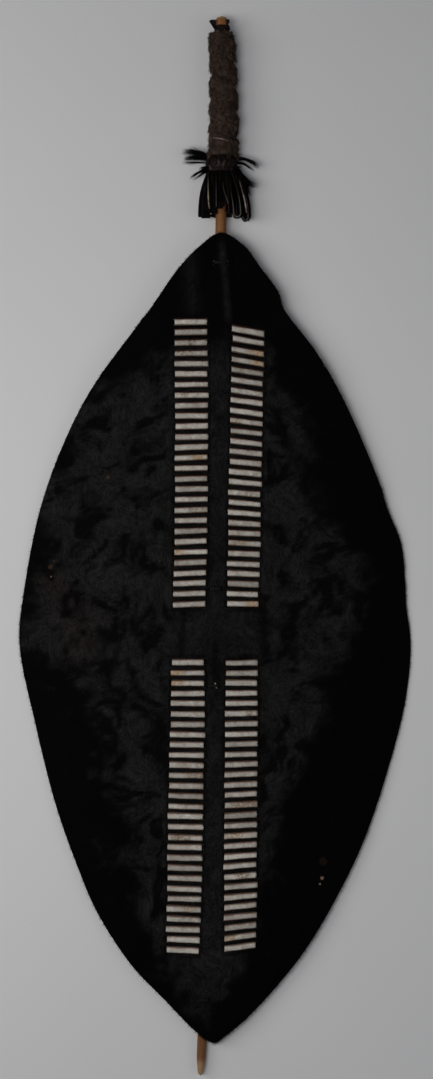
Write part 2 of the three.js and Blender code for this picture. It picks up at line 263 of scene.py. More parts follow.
def curved(corners, steps=8, closed=False):
    """A smooth line through corners, as a centripetal Catmull-Rom curve."""
    pts = np.asarray(corners, float)
    if closed:
        pts = np.concatenate([pts[-1:], pts, pts[:2]])
    else:
        pts = np.concatenate([[2 * pts[0] - pts[1]], pts, [2 * pts[-1] - pts[-2]]])
    line = []
    for p0, p1, p2, p3 in zip(pts[:-3], pts[1:-2], pts[2:-1], pts[3:]):
        t1 = np.linalg.norm(p1 - p0) ** 0.5
        t2 = t1 + np.linalg.norm(p2 - p1) ** 0.5
        t3 = t2 + np.linalg.norm(p3 - p2) ** 0.5
        for t in np.linspace(t1, t2, steps, endpoint=False):
            a1 = lerp(p0, p1, t / t1)
            a2 = lerp(p1, p2, (t - t1) / (t2 - t1))
            a3 = lerp(p2, p3, (t - t2) / (t3 - t2))
            b1 = lerp(a1, a2, t / t2)
            b2 = lerp(a2, a3, (t - t1) / (t3 - t1))
            line.append(lerp(b1, b2, (t - t1) / (t2 - t1)))
    if not closed:
        line.append(pts[-2])
    return np.array(line)


def unit(v):
    return v / np.maximum(np.linalg.norm(v, axis=-1, keepdims=True), 1e-9)


def thong(points, width, thickness, flat_way, taper=0.0):
    """A strap along a path of points. flat_way is the direction that its flat side faces, for each share."""
    length = float(np.linalg.norm(np.diff(np.asarray(points, float), axis=0), axis=1).sum())

    def place(around, along):
        middle, way = along_path(points, along)
        face = flat_way(along, middle) if callable(flat_way) else np.broadcast_to(flat_way, middle.shape)
        across = unit(np.cross(way, face))
        face = unit(np.cross(across, way))
        angle = 2 * math.pi * around
        cos, sin = np.cos(angle), np.sin(angle)
        round_off = (np.abs(cos) ** 4 + np.abs(sin) ** 4) ** -0.25
        size = 1 - taper * smooth((along - 0.6) / 0.4)
        out_w = (cos * round_off * size * width / 2)[:, None]
        out_t = (sin * round_off * thickness / 2)[:, None]
        return middle + across * out_w + face * out_t

    return tube_mesh(12, max(8, int(length / 1.6)), place)


# ---- Hair ----------------------------------------------------------------------------------------------------


def hair_mesh(name, paths, radii, shades=0.5):
    """Three-sided tapered strands along paths of shape (strands, points, 3), as one mesh that knows for each
    point how near the tip it is, and the shade of its strand."""
    section = bpy.data.curves.new("section", "CURVE")
    section.dimensions = "2D"
    corner = section.splines.new("POLY")
    corner.points.add(2)
    for i in range(3):
        corner.points[i].co = (math.cos(i * math.tau / 3), math.sin(i * math.tau / 3), 0, 1)
    corner.use_cyclic_u = True
    section_object = bpy.data.objects.new("section", section)

    data = bpy.data.curves.new(name, "CURVE")
    data.dimensions = "3D"
    data.bevel_mode = "OBJECT"
    data.bevel_object = section_object
    data.use_fill_caps = True
    count, points = paths.shape[:2]
    coordinates = np.ones((count, points, 4), np.float32)
    coordinates[:, :, :3] = paths * MM
    sizes = (np.broadcast_to(radii, (count, points)) * MM).astype(np.float32)
    for strand in range(count):
        spline = data.splines.new("POLY")
        spline.points.add(points - 1)
        spline.points.foreach_set("co", coordinates[strand].ravel())
        spline.points.foreach_set("radius", sizes[strand])
    holder = bpy.data.objects.new(name, data)
    bpy.context.scene.collection.objects.link(section_object)
    bpy.context.scene.collection.objects.link(holder)
    shown = holder.evaluated_get(bpy.context.evaluated_depsgraph_get())
    mesh = bpy.data.meshes.new_from_object(shown)
    bpy.data.objects.remove(holder)
    bpy.data.curves.remove(data)
    bpy.data.objects.remove(section_object)
    bpy.data.curves.remove(section)

    along = np.tile(np.repeat(np.linspace(0, 1, points), 3), count)
    shades = np.repeat(np.broadcast_to(shades, count), points * 3)
    for label, values in (("tip", along), ("shade", shades)):
        attribute = mesh.attributes.new(label, "FLOAT", "POINT")
        attribute.data.foreach_set("value", np.resize(values, len(mesh.vertices)).astype(np.float32))
    return mesh


def bent_strands(roots, ways, ends, lengths, points):
    """Strands that leave along ways and turn to lie along ends. All are arrays with one row a strand."""
    steps = np.linspace(0, 1, points)[None, :, None]
    heading = unit(lerp(ways[:, None, :], ends[:, None, :], smooth(steps * 1.4)))
    stride = lengths[:, None, None] / (points - 1)
    travelled = np.cumsum(heading * stride, axis=1) - heading[:, :1] * stride
    return roots[:, None, :] + travelled


def above_floor(places, clear=0.25):
    places[..., 2] = np.maximum(places[..., 2], clear)
    return places


# ---- Finishes ------------------------------------------------------------------------------------------------


class Finish:
    """A material with a Principled shader, and short ways to add the nodes that this shield's finishes use."""

    def __init__(self, name, roughness=0.6, **sockets):
        self.material = bpy.data.materials.new(name)
        self.material.use_nodes = True
        self.nodes = self.material.node_tree.nodes
        self.links = self.material.node_tree.links
        self.shader = self.nodes["Principled BSDF"]
        self.shader.inputs["Roughness"].default_value = roughness
        for socket, value in sockets.items():
            self.shader.inputs[socket.replace("_", " ")].default_value = value
        self.object_place = self.nodes.new("ShaderNodeTexCoord").outputs["Object"]

    def put(self, socket, value):
        if hasattr(value, "is_output"):
            self.links.new(value, socket)
        else:
            socket.default_value = value

    def scaled(self, scale, vector=None, turn=(0, 0, 0)):
        node = self.nodes.new("ShaderNodeMapping")
        self.put(node.inputs["Vector"], vector or self.object_place)
        node.inputs["Scale"].default_value = scale
        node.inputs["Rotation"].default_value = turn
        return node.outputs["Vector"]

    def noise(self, scale, vector=None, detail=3.0, roughness=0.5, distortion=0.0, output="Fac"):
        node = self.nodes.new("ShaderNodeTexNoise")
        self.put(node.inputs["Vector"], vector or self.object_place)
        node.inputs["Scale"].default_value = scale
        node.inputs["Detail"].default_value = detail
        node.inputs["Roughness"].default_value = roughness
        node.inputs["Distortion"].default_value = distortion
        return node.outputs[output]

    def attribute(self, name):
        node = self.nodes.new("ShaderNodeAttribute")
        node.attribute_name = name
        return node.outputs["Fac"]

    def math(self, operation, a, b=0.5, c=None):
        node = self.nodes.new("ShaderNodeMath")
        node.operation = operation
        self.put(node.inputs[0], a)
        self.put(node.inputs[1], b)
        if c is not None:
            self.put(node.inputs[2], c)
        return node.outputs[0]

    def move(self, vector, by, amount):
        """vector moved by (by - 0.5) * amount, to let a pattern wander."""
        centred = self.nodes.new("ShaderNodeVectorMath")
        centred.operation = "SUBTRACT"
        self.put(centred.inputs[0], by)
        centred.inputs[1].default_value = (0.5, 0.5, 0.5)
        node = self.nodes.new("ShaderNodeVectorMath")
        node.operation = "MULTIPLY_ADD"
        self.put(node.inputs[0], centred.outputs[0])
        node.inputs[1].default_value = (amount, amount, amount)
        self.put(node.inputs[2], vector)
        return node.outputs[0]

    def ramp(self, factor, *stops):
        """Colours or numbers at places from 0 to 1."""
        node = self.nodes.new("ShaderNodeValToRGB")
        self.put(node.inputs["Fac"], factor)
        elements = node.color_ramp.elements
        while len(elements) < len(stops):
            elements.new(0.5)
        for element, (place, value) in zip(elements, stops):
            element.position = place
            element.color = (value, value, value, 1) if isinstance(value, (int, float)) else (*value, 1)
        return node.outputs["Color"]

    def mix(self, factor, a, b, blend="MIX"):
        node = self.nodes.new("ShaderNodeMix")
        node.data_type = "RGBA"
        node.blend_type = blend
        node.clamp_factor = True
        self.put(node.inputs["Factor"], factor)
        for socket, value in ((node.inputs["A"], a), (node.inputs["B"], b)):
            self.put(socket, (*value, 1) if isinstance(value, tuple) else value)
        return node.outputs["Result"]

    def near(self, place, radius, ragged=0.6, scale=900):
        """1 at a place in millimetres, falling to 0 at a ragged radius round it."""
        node = self.nodes.new("ShaderNodeVectorMath")
        node.operation = "DISTANCE"
        flat = self.scaled((1, 1, 0))
        self.put(node.inputs[0], self.move(flat, self.noise(scale, output="Color"), radius * ragged * MM))
        node.inputs[1].default_value = (place[0] * MM, place[1] * MM, 0)
        return self.ramp(self.math("DIVIDE", node.outputs["Value"], 2 * radius * MM), (0.3, 1.0), (0.5, 0.0))

    def relief(self, height, distance, strength=1.0, normal=None):
        node = self.nodes.new("ShaderNodeBump")
        self.put(node.inputs["Strength"], strength)
        node.inputs["Distance"].default_value = distance * MM
        self.put(node.inputs["Height"], height)
        if normal:
            self.put(node.inputs["Normal"], normal)
        return node.outputs["Normal"]

    def done(self, color=None, roughness=None, normal=None):
        for socket, value in (("Base Color", color), ("Roughness", roughness), ("Normal", normal)):
            if value is not None:
                self.put(self.shader.inputs[socket], (*value, 1) if isinstance(value, tuple) else value)
        return self.material


def black_hair_coat():
    """The hair side of the hide: short and glossy, its colour painted with sheen in patches where the hair lies another
    way, with painted highlights on curl crests and single strands and painted shade in hollows, creases and between the
    lacing's bars.
    """
    f = Finish("black_hair_coat", Specular_IOR_Level=0.02, Sheen_Weight=0.003, Sheen_Roughness=0.4)
    swirl = f.move(f.object_place, f.noise(11, output="Color", detail=2), 0.09)
    curl = f.noise(1.0, f.scaled((60, 42, 50), swirl), detail=4, roughness=0.6, distortion=1.8)
    ruffle = f.noise(1.0, f.scaled((210, 130, 160), swirl), detail=4, roughness=0.62, distortion=2.0)
    strand = f.noise(1.0, f.scaled((1500, 130, 500), f.move(swirl, curl, 0.02)), detail=3, roughness=0.65)
    # The first attribute is a painted sheen mask; curl crests are painted lighter and hollows get painted shade.
    painted_sheen_zone, crest = f.attribute("painted_sheen_zone"), f.attribute("crest")
    # Wisps and patches of painted sheen.
    sheen_wisps = f.ramp(f.mix(0.6, curl, ruffle), (0.39, 0.0), (0.61, 1.0))
    sheen_patches = f.math("MULTIPLY", f.ramp(crest, (0.15, 0.16), (0.80, 1.0)), f.ramp(sheen_wisps, (0.0, 0.26), (1.0, 1.08)))
    lit = f.math("MULTIPLY", sheen_patches, f.ramp(painted_sheen_zone, (0.0, 0.03), (1.0, 1.0)))
    color = f.mix(lit, (0.0006, 0.0006, 0.0006), (0.0150, 0.0147, 0.0146))
    # Painted highlights along single strands inside the painted sheen.
    strand_highlight = f.math("MULTIPLY", f.ramp(strand, (0.5, 0.0), (0.78, 0.8)), lit)
    color = f.mix(strand_highlight, color, (0.028, 0.0272, 0.0268))
    color = f.mix(f.attribute("russet"), color, f.mix(1.0, color, (1.28, 1.04, 1.02), "MULTIPLY"))
    for place, radius, share in BROWN_SPOTS:
        color = f.mix(f.math("MULTIPLY", f.near(place, radius, 1.2, 500), share), color, (0.055, 0.028, 0.014))
    for place, radius in BARE_SPOTS:
        color = f.mix(f.near(place, radius, 1.6, 420), color, (0.16, 0.105, 0.07))
    rough = f.mix(lit, (0.62, 0.62, 0.62), (0.42, 0.42, 0.42))
    normal = f.relief(f.mix(0.45, curl, ruffle), 7.0, f.ramp(painted_sheen_zone, (0.0, 0.2), (1.0, 0.8)))
    normal = f.relief(strand, 0.6, 0.8, normal)
    return f.done(color, rough, normal)


def flesh_side():
    """The back of the hide: scraped raw skin, dull and stained."""
    f = Finish("scraped_flesh_side", roughness=0.78, Specular_IOR_Level=0.3)
    blotch = f.noise(14, detail=5, distortion=1.2)
    scrape = f.noise(1.0, f.scaled((70, 420, 70), f.move(f.object_place, blotch, 0.03)), detail=4)
    color = f.ramp(blotch, (0.3, (0.075, 0.048, 0.031)), (0.5, (0.13, 0.09, 0.06)), (0.72, (0.2, 0.15, 0.105)))
    color = f.mix(f.ramp(scrape, (0.5, 0.0), (0.8, 0.5)), color, (0.24, 0.19, 0.14))
    color = f.mix(f.ramp(f.noise(45, detail=3), (0.62, 0.0), (0.75, 0.6)), color, (0.035, 0.02, 0.013))
    normal = f.relief(f.mix(0.5, scrape, f.noise(600, detail=2)), 0.5, 0.6)
    return f.done(color, normal=normal)


def cut_edge():
    """Where the hide was cut: dried red-brown skin, with the black hair's roots over it."""
    f = Finish("red_brown_cut_edge", roughness=0.75, Specular_IOR_Level=0.12)
    grain = f.noise(700, detail=3)
    color = f.ramp(grain, (0.3, (0.022, 0.007, 0.006)), (0.7, (0.075, 0.026, 0.020)))
    color = f.mix(f.ramp(f.noise(60, detail=3), (0.42, 0.0), (0.65, 0.85)), color, (0.008, 0.004, 0.004))
    return f.done(color, normal=f.relief(grain, 0.3, 0.6))


def white_hide():
    """The lacing: scraped white hide, yellowed and grubby in places, pinkish where it rises from its slit, with painted
    shade where it dips into the slits.
    """
    f = Finish("white_lacing_hide", roughness=0.72, Specular_IOR_Level=0.22)
    fibre = f.noise(1.0, f.scaled((170, 950, 400)), detail=4, roughness=0.6)
    crack = f.noise(1.0, f.scaled((700, 120, 400)), detail=3, roughness=0.6)
    cloud = f.noise(60, detail=5, roughness=0.65, distortion=0.8)
    speck = f.noise(330, detail=3, roughness=0.7)
    color = f.ramp(cloud, (0.28, (0.27, 0.245, 0.205)), (0.5, (0.43, 0.41, 0.365)), (0.72, (0.56, 0.54, 0.49)))
    color = f.mix(f.ramp(fibre, (0.46, 0.0), (0.66, 0.6)), color, (0.25, 0.225, 0.20))
    color = f.mix(f.ramp(crack, (0.60, 0.0), (0.74, 0.5)), color, (0.20, 0.155, 0.125))
    color = f.mix(f.ramp(speck, (0.62, 0.0), (0.74, 0.75)), color, (0.15, 0.115, 0.09))
    tone = f.attribute("tone")
    color = f.mix(1.0, color, f.ramp(tone, (0.0, 0.55), (1.0, 1.2)), "MULTIPLY")
    pink = f.math("MULTIPLY", f.ramp(f.attribute("rise"), (0.55, 0.0), (0.95, 1.0)), f.ramp(cloud, (0.35, 1.0), (0.7, 0.3)))
    color = f.mix(pink, color, f.mix(1.0, color, (0.98, 0.82, 0.80), "MULTIPLY"))
    yellowed = f.math("MULTIPLY", f.attribute("stain"), f.ramp(f.noise(170, detail=4), (0.36, 0.1), (0.56, 1.0)))
    color = f.mix(yellowed, color, f.ramp(f.noise(300, detail=2), (0.4, (0.42, 0.30, 0.14)), (0.6, (0.30, 0.15, 0.06))))
    grubby = f.math("MULTIPLY", f.attribute("grime"), f.ramp(f.noise(240, detail=4), (0.42, 0.1), (0.56, 1.0)))
    color = f.mix(grubby, color, (0.105, 0.078, 0.055))
    # Painted shade where the strip dips into a slit.
    color = f.mix(f.attribute("painted_slit_shade"), color, (0.085, 0.045, 0.026))
    normal = f.relief(f.mix(0.4, fibre, cloud), 0.45, 0.7)
    return f.done(color, normal=normal)


def stick_wood():
    """A debarked branch, darkened by hands and fat, with fine grain and small checks."""
    f = Finish("hand_worn_wood", Specular_IOR_Level=0.1)
    sway = f.move(f.object_place, f.noise(12, detail=2, output="Color"), 0.006)
    grain = f.noise(1.0, f.scaled((650, 16, 650), sway), detail=5, roughness=0.6, distortion=0.4)
    band = f.noise(1.0, f.scaled((90, 5, 90), sway), detail=3)
    color = f.ramp(grain, (0.3, (0.105, 0.040, 0.014)), (0.52, (0.215, 0.090, 0.032)), (0.75, (0.31, 0.150, 0.060)))
    color = f.mix(f.ramp(band, (0.35, 0.55), (0.62, 0.0)), color, (0.10, 0.052, 0.027))
    color = f.mix(f.ramp(f.noise(120, detail=4), (0.62, 0.0), (0.76, 0.7)), color, (0.055, 0.028, 0.015))
    color = f.mix(f.attribute("pale_cut"), color, (0.40, 0.27, 0.15))
    rough = f.ramp(grain, (0.3, 0.42), (0.7, 0.6))
    return f.done(color, rough, f.relief(grain, 0.35, 0.8))


def hair_finish(name, root, middle, tip, patch, roughness=0.5, specular=0.1):
    """Hair that pales towards its tip, in clumps of a lighter or darker shade."""
    f = Finish(name, roughness=roughness, Specular_IOR_Level=specular)
    along = f.attribute("tip")
    color = f.ramp(along, (0.0, root), (0.55, middle), (1.0, tip))
    clump = f.noise(90, detail=3, roughness=0.7)
    color = f.mix(f.ramp(clump, (0.4, 0.0), (0.66, 0.65)), color, patch)
    fine = f.noise(900, detail=2)
    color = f.mix(f.ramp(fine, (0.35, 0.45), (0.6, 0.0)), color, root)
    # The shade attribute scales the colour: on the fur it holds painted light and shade, on other hair a random tone.
    shade = f.ramp(f.attribute("shade"), (0.0, (0.26, 0.27, 0.25)), (0.5, (0.85, 0.85, 0.85)), (1.0, (1.5, 1.42, 1.4)))
    return f.done(f.mix(1.0, color, shade, "MULTIPLY"))


def dark_thong(name, low, high, patch):
    f = Finish(name, roughness=0.6, Specular_IOR_Level=0.08)
    grain = f.noise(420, detail=4, roughness=0.65)
    color = f.ramp(grain, (0.3, low), (0.7, high))
    # Spots of the third colour; on the dark red thong they are painted pinkish glints.
    color = f.mix(f.ramp(f.noise(110, detail=3), (0.58, 0.0), (0.72, 0.6)), color, patch)
    return f.done(color, normal=f.relief(grain, 0.35, 0.8))


def strip_edge(name, low, high):
    """The cut edge of a fringe strip, dim near the band and clearest near the loop."""
    f = Finish(name, roughness=0.7, Specular_IOR_Level=0.08)
    grain = f.noise(1.0, f.scaled((500, 160, 500)), detail=3)
    color = f.ramp(grain, (0.34, low), (0.66, high))
    bare = f.math("MULTIPLY", f.attribute("bare"), f.ramp(f.noise(130, detail=3), (0.35, 0.35), (0.55, 1.0)))
    return f.done(f.mix(bare, (0.006, 0.003, 0.003), color), normal=f.relief(grain, 0.3, 0.6))


def fur_skin():
    f = Finish("brown_pelt_skin", roughness=0.85, Specular_IOR_Level=0.15)
    mottle = f.noise(120, detail=4)
    color = f.ramp(mottle, (0.3, (0.020, 0.013, 0.010)), (0.7, (0.05, 0.034, 0.026)))
    return f.done(color, normal=f.relief(f.noise(900, detail=3), 0.8, 0.8))


def floor_finish():
    f = Finish("plain_pale_floor", roughness=0.9, Specular_IOR_Level=0.1)
    color = f.ramp(f.noise(3, detail=2), (0.3, (0.60, 0.60, 0.605)), (0.7, (0.615, 0.615, 0.62)))
    return f.done(color)


# Worn places of the coat: middle in millimetres, radius, and how brown.
BROWN_SPOTS = [
    ((-165, 108), 3.0, 1.0), ((171, 281), 4.0, 0.8), ((-255, -31), 4.0, 0.6), ((-249, -22), 2.5, 0.4),
    ((60, 205), 3.0, 0.3), ((168, -487), 8.0, 0.15), ((-213, 294), 3.0, 0.3),
]  # fmt: skip
BARE_SPOTS = [((166, -513), 3.4), ((163, -522), 2.0), ((-254, -46), 1.5)]

HAIR_COAT = black_hair_coat()
FLESH_SIDE = flesh_side()
CUT_EDGE = cut_edge()
WHITE_HIDE = white_hide()
WOOD = stick_wood()
DARK_THONG = dark_thong("greased_dark_thong", (0.008, 0.006, 0.005), (0.034, 0.022, 0.016), (0.075, 0.045, 0.028))
BLACK_THONG = dark_thong("black_thong", (0.002, 0.0016, 0.0015), (0.006, 0.0045, 0.004), (0.014, 0.007, 0.005))
# The dark red thong's third colour is painted pinkish glints.
RED_THONG = dark_thong("dark_red_thong", (0.004, 0.002, 0.002), (0.011, 0.0055, 0.005), (0.10, 0.065, 0.06))
RED_EDGE = strip_edge("dark_red_strip_edge", (0.012, 0.003, 0.003), (0.045, 0.014, 0.012))
GREY_EDGE = strip_edge("grey_strip_edge", (0.045, 0.038, 0.034), (0.11, 0.095, 0.085))
CREAM_EDGE = strip_edge("cream_strip_edge", (0.24, 0.19, 0.13), (0.46, 0.41, 0.31))
PINK_EDGE = strip_edge("pink_strip_edge", (0.17, 0.11, 0.10), (0.42, 0.34, 0.31))
FUR_SKIN = fur_skin()
BROWN_FUR = hair_finish(
    "brown_fur", (0.030, 0.018, 0.013), (0.082, 0.051, 0.038), (0.17, 0.118, 0.092), (0.052, 0.030, 0.022)
)
BLACK_LOCKS = hair_finish(
    "black_locks", (0.0012, 0.001, 0.001), (0.0030, 0.0024, 0.0021), (0.0100, 0.0072, 0.006), (0.005, 0.0038, 0.003),
    specular=0.03,
)  # fmt: skip


# ---- The lie of the hide -------------------------------------------------------------------------------------


def mound(x, y, at, wide, tall, turn=0.0):
    """A soft rise of 1 at a place."""
    dx, dy = x - at[0], y - at[1]
    cos, sin = math.cos(math.radians(turn)), math.sin(math.radians(turn))
    return np.exp(-(((dx * cos + dy * sin) / wide) ** 2) - ((-dx * sin + dy * cos) / tall) ** 2)


def fold(x, y, start, end, wide):
    """A soft ridge of 1 along a line, fading at both ends."""
    start, end = np.array(start, float), np.array(end, float)
    way = end - start
    share = ((x - start[0]) * way[0] + (y - start[1]) * way[1]) / (way @ way)
    off = np.hypot(x - start[0] - share * way[0], y - start[1] - share * way[1])
    return np.exp(-((off / wide) ** 2)) * smooth(share * 4 + 0.5) * smooth((1 - share) * 4 + 0.5)


def lie(x, y):
    """How far the hide stands off its plain arch: the bow at the grip, folds, and slow waves."""
    rho = ((x - GRIP_X) / 76) ** 2 + ((y - GRIP_Y) / 50) ** 2
    bow = GRIP_RISE * np.clip(1 - rho, 0, 1) ** 1.4 * (1 - 0.85 * mound(x, y, (7, -170), 9, 20))
    lobes = 3.2 * mound(x, y, (-20, -172), 15, 24) + 3.2 * mound(x, y, (33, -172), 13, 24)
    side = 2.6 * fold(x, y, (-104, -140), (-62, -98), 7) + 1.6 * fold(x, y, (-92, -166), (-78, -240), 9)
    side = side + 2.4 * fold(x, y, (-118, -118), (-86, -52), 6) + 2.0 * fold(x, y, (92, -96), (104, -170), 9)
    crown = 2.4 * fold(x, y, (14, 470), (27, 345), 6.5) + 1.8 * fold(x, y, (-14, 458), (-36, 352), 8)
    inner = np.clip((285 - np.abs(x)) / 120, 0, 1) * np.clip((np.abs(x) - 20) / 60, 0, 1)
    slow = 1.6 * np.sin(x / 41 + 1.3 * np.sin(y / 97)) * np.sin(y / 83 + 0.8 * np.sin(x / 67))
    quick = 0.7 * np.sin(x / 17 + 2.1 * np.sin(y / 37 + x / 90)) * np.sin(y / 29 + 1.7 * np.sin(x / 23))
    return bow + lobes + side + crown + (slow + quick) * inner


def under_z(x, y):
    return arch_z(x - MOVED_X, y) + MOVED_Z + lie(x, y)


# Inside this line the coat is brushed up and its colour is painted with sheen; outside it the hair lies flat and dull.
GLOSSY_COAT = [
    (62, 338), (-96, 304), (-190, 240), (-262, 100), (-300, -50), (-302, -165), (-236, -196), (-184, -262),
    (-170, -360), (-142, -470), (-112, -600), (-95, -640), (-50, -710), (-10, -755), (20, -690),
    (60, -640), (66, -600), (62, -540), (112, -380), (168, -262),
    (206, -190), (226, -80), (196, 12), (160, 110), (150, 186), (108, 262),
]  # fmt: skip


def inside_line(x, y, line):
    """Distance to a closed line, counted negative outside it."""
    away, inside = np.full(x.shape, 1e9), np.zeros(x.shape, bool)
    for (ax, ay), (bx, by) in zip(line, np.roll(line, -1, axis=0)):
        share = np.clip(((x - ax) * (bx - ax) + (y - ay) * (by - ay)) / ((bx - ax) ** 2 + (by - ay) ** 2), 0, 1)
        away = np.minimum(away, np.hypot(x - ax - share * (bx - ax), y - ay - share * (by - ay)))
        crosses = ((ay > y) != (by > y)) & (x < ax + (y - ay) * (bx - ax) / (by - ay + 1e-12))
        inside ^= crosses
    return np.where(inside, away, -away)


# Where the black hair is bleached reddish: middle, width, height and turn of each patch.
RUSSET_PATCHES = [
    ((-208, -138), 34, 62, 0), ((-268, -30), 12, 46, 10), ((-238, -70), 14, 26, 30), ((160, 268), 20, 44, 35),
    ((172, 215), 16, 30, 35), ((276, -52), 12, 50, 0), ((236, -150), 18, 60, 0),
]  # fmt: skip


def russet(x, y):
    return np.clip(sum(mound(x, y, *patch) for patch in RUSSET_PATCHES), 0, 1)


def shaded_creases(x, y):
    """Where the coat turns away from the light: beside the grip's bow, in its dimple, and along slow hollows."""
    grip = fold(x, y, (-47, -92), (-53, -172), 6) + fold(x, y, (75, -88), (78, -176), 9) + mound(x, y, (3, -192), 9, 26)
    side = fold(x, y, (-96, -88), (-128, -136), 6) + 0.7 * fold(x, y, (118, -96), (96, -190), 7)
    hollow = 0.8 * fold(x, y, (-104, 30), (-132, -40), 9) + 0.7 * fold(x, y, (96, 190), (150, 90), 11)
    return grip + side + hollow + 0.7 * fold(x, y, (-84, 170), (-150, 120), 9)


def wavy(x, y, length, seed, octaves=3):
    """Smooth noise from about -1 to 1, with waves of a length."""
    depth = np.broadcast_to(seed, np.shape(x))
    values = np.array([
        noise.fractal(Vector(place), 0.9, 2.1, octaves) for place in zip(x / length, y / length, depth)
    ])  # fmt: skip
    return values * 1.6


def brushed_coat(x, y):
    """How high the coat's curls stand, in millimetres, how much painted sheen each place gets, and its crests, which
    are painted lighter.
    """
    drift_x, drift_y = wavy(x, y, 75, 3.7, 2) * 20, wavy(x, y, 75, 8.1, 2) * 20
    ragged = wavy(x, y, 22, 2.2, 3) * 13
    zone = smooth((inside_line(x + drift_x, y + drift_y, GLOSSY_COAT) + ragged + 12) / 44)
    zone = np.maximum(zone, 0.8 * fold(x, y, (11, 468), (21, 350), 5) + 0.5 * fold(x, y, (-41, 456), (-33, 360), 12))
    # Painted shade in the creases: less painted sheen there, and lower curls.
    zone = zone * (1 - 0.75 * np.clip(shaded_creases(x, y), 0, 1))
    # The hair lies downwards and outwards, so its waves run up towards the middle on both sides.
    out = np.sqrt(x * x + 900)
    steep = smooth((-120 - y) / 160) * 0.8
    up_in, up_out = (y - out * (1 - steep)) / math.sqrt(2), (y * (1 - steep) + out) / math.sqrt(2)
    seed = x / 160
    broad = wavy(up_in / 1.6 + drift_x, up_out + drift_y, 30, 1.3 + seed, 2)
    tuft = wavy(up_in / 1.3 + drift_x * 1.8, up_out + drift_y * 1.8, 13, 5.9 + seed, 2)
    calm = 0.25 + 0.75 * smooth((np.abs(x) - 62) / 26)
    crest = np.clip(0.62 + (0.58 * broad + 0.52 * tuft) * calm, 0, 1)
    height = (0.60 * np.clip(broad, -1, 0.8) + 0.50 * tuft) * (0.18 + 0.82 * zone)
    return height, zone, crest


def stray(seed):
    s = math.sin(seed * 12.9898) * 43758.5453
    return 2 * (s - math.floor(s)) - 1


def bars_of(column):
    """The middle, lean and width of every white bar, from the top of a column down."""
    (top_x, top_y), (foot_x, foot_y), bow, bars, leans, width, belly = column
    for bar in range(bars):
        share = bar / (bars - 1)
        middling = 4 * share * (1 - share)
        x = lerp(top_x, foot_x, share) + bow * middling + MOVED_X
        y = lerp(top_y, foot_y, share) + BAR_SHIFT * stray(bar + top_x)
        lean = math.radians(lerp(*leans, share) + BAR_TWIST * stray(bar + foot_x))
        yield x, y, lean, width + belly * middling


LEG = (BAR_HEIGHT - STRIP_THICKNESS) / 2  # from a bar's middle to where the strip goes through


def slit_shift(bar, column_x, leg, u):
    """How far a hand-cut slit strays along the column: as a whole, by its own lean, and as a wave."""
    seed = bar * 3.1 + column_x + (40 if leg > 0 else 0)
    return 0.42 * stray(seed) + u * 0.014 * stray(seed + 7) + 0.16 * np.sin(u / 5.3 + 9 * stray(seed + 13))


# ---- The hide ------------------------------------------------------------------------------------------------

GRID_X, GRID_Y = 108, 292
SLIT_END = 2.2  # a slit runs past the strip by this much on each side
SLIT_HALF = 1.05
SLIT_SLANT = 1.3  # the cut above each bar slopes back by this much
PUCKER = 0.75


def block_with(bm, place, turn, size, slant=(0.0, 0.0)):
    """Adds a box to a bmesh, with the top of its foot side and of its head side moved outwards by a slant."""
    matrix = Matrix.Translation(place) @ Matrix.Rotation(turn, 4, "Z")
    made = bmesh.ops.create_cube(bm, size=1)["verts"]
    for vert in made:
        slope = 0 if vert.co.z < 0 else (slant[1] if vert.co.y > 0 else -slant[0])
        vert.co = matrix @ Vector((vert.co.x * size[0], vert.co.y * size[1] + slope, vert.co.z * size[2]))


def hide_slab():
    """A flat slab of small squares, closest together under the lacing."""
    bm = bmesh.new()
    bmesh.ops.create_grid(bm, x_segments=GRID_X, y_segments=GRID_Y, size=1)
    low, high = box_mm("hide")
    for vert in bm.verts:
        across = vert.co.x * (0.42 + 0.58 * vert.co.x * vert.co.x)
        vert.co.x = lerp(low[0] - 6, high[0] + 6, across / 2 + 0.5)
        vert.co.y = lerp(low[1] - 6, high[1] + 6, vert.co.y / 2 + 0.5)
    raised = bmesh.ops.extrude_face_region(bm, geom=bm.faces[:])["geom"]
    bmesh.ops.translate(
        bm, vec=(0, 0, HIDE_THICKNESS), verts=[e for e in raised if isinstance(e, bmesh.types.BMVert)]
    )
    bmesh.ops.recalc_face_normals(bm, faces=bm.faces)
    return mesh_of(bm, "slab")


def edge_prism(outline):
    bm = bmesh.new()
    face = bm.faces.new([bm.verts.new((x, y, -20)) for x, y in outline])
    raised = bmesh.ops.extrude_face_region(bm, geom=[face])["geom"]
    bmesh.ops.translate(bm, vec=(0, 0, 60), verts=[e for e in raised if isinstance(e, bmesh.types.BMVert)])
    bmesh.ops.recalc_face_normals(bm, faces=bm.faces)
    return mesh_of(bm, "edge")


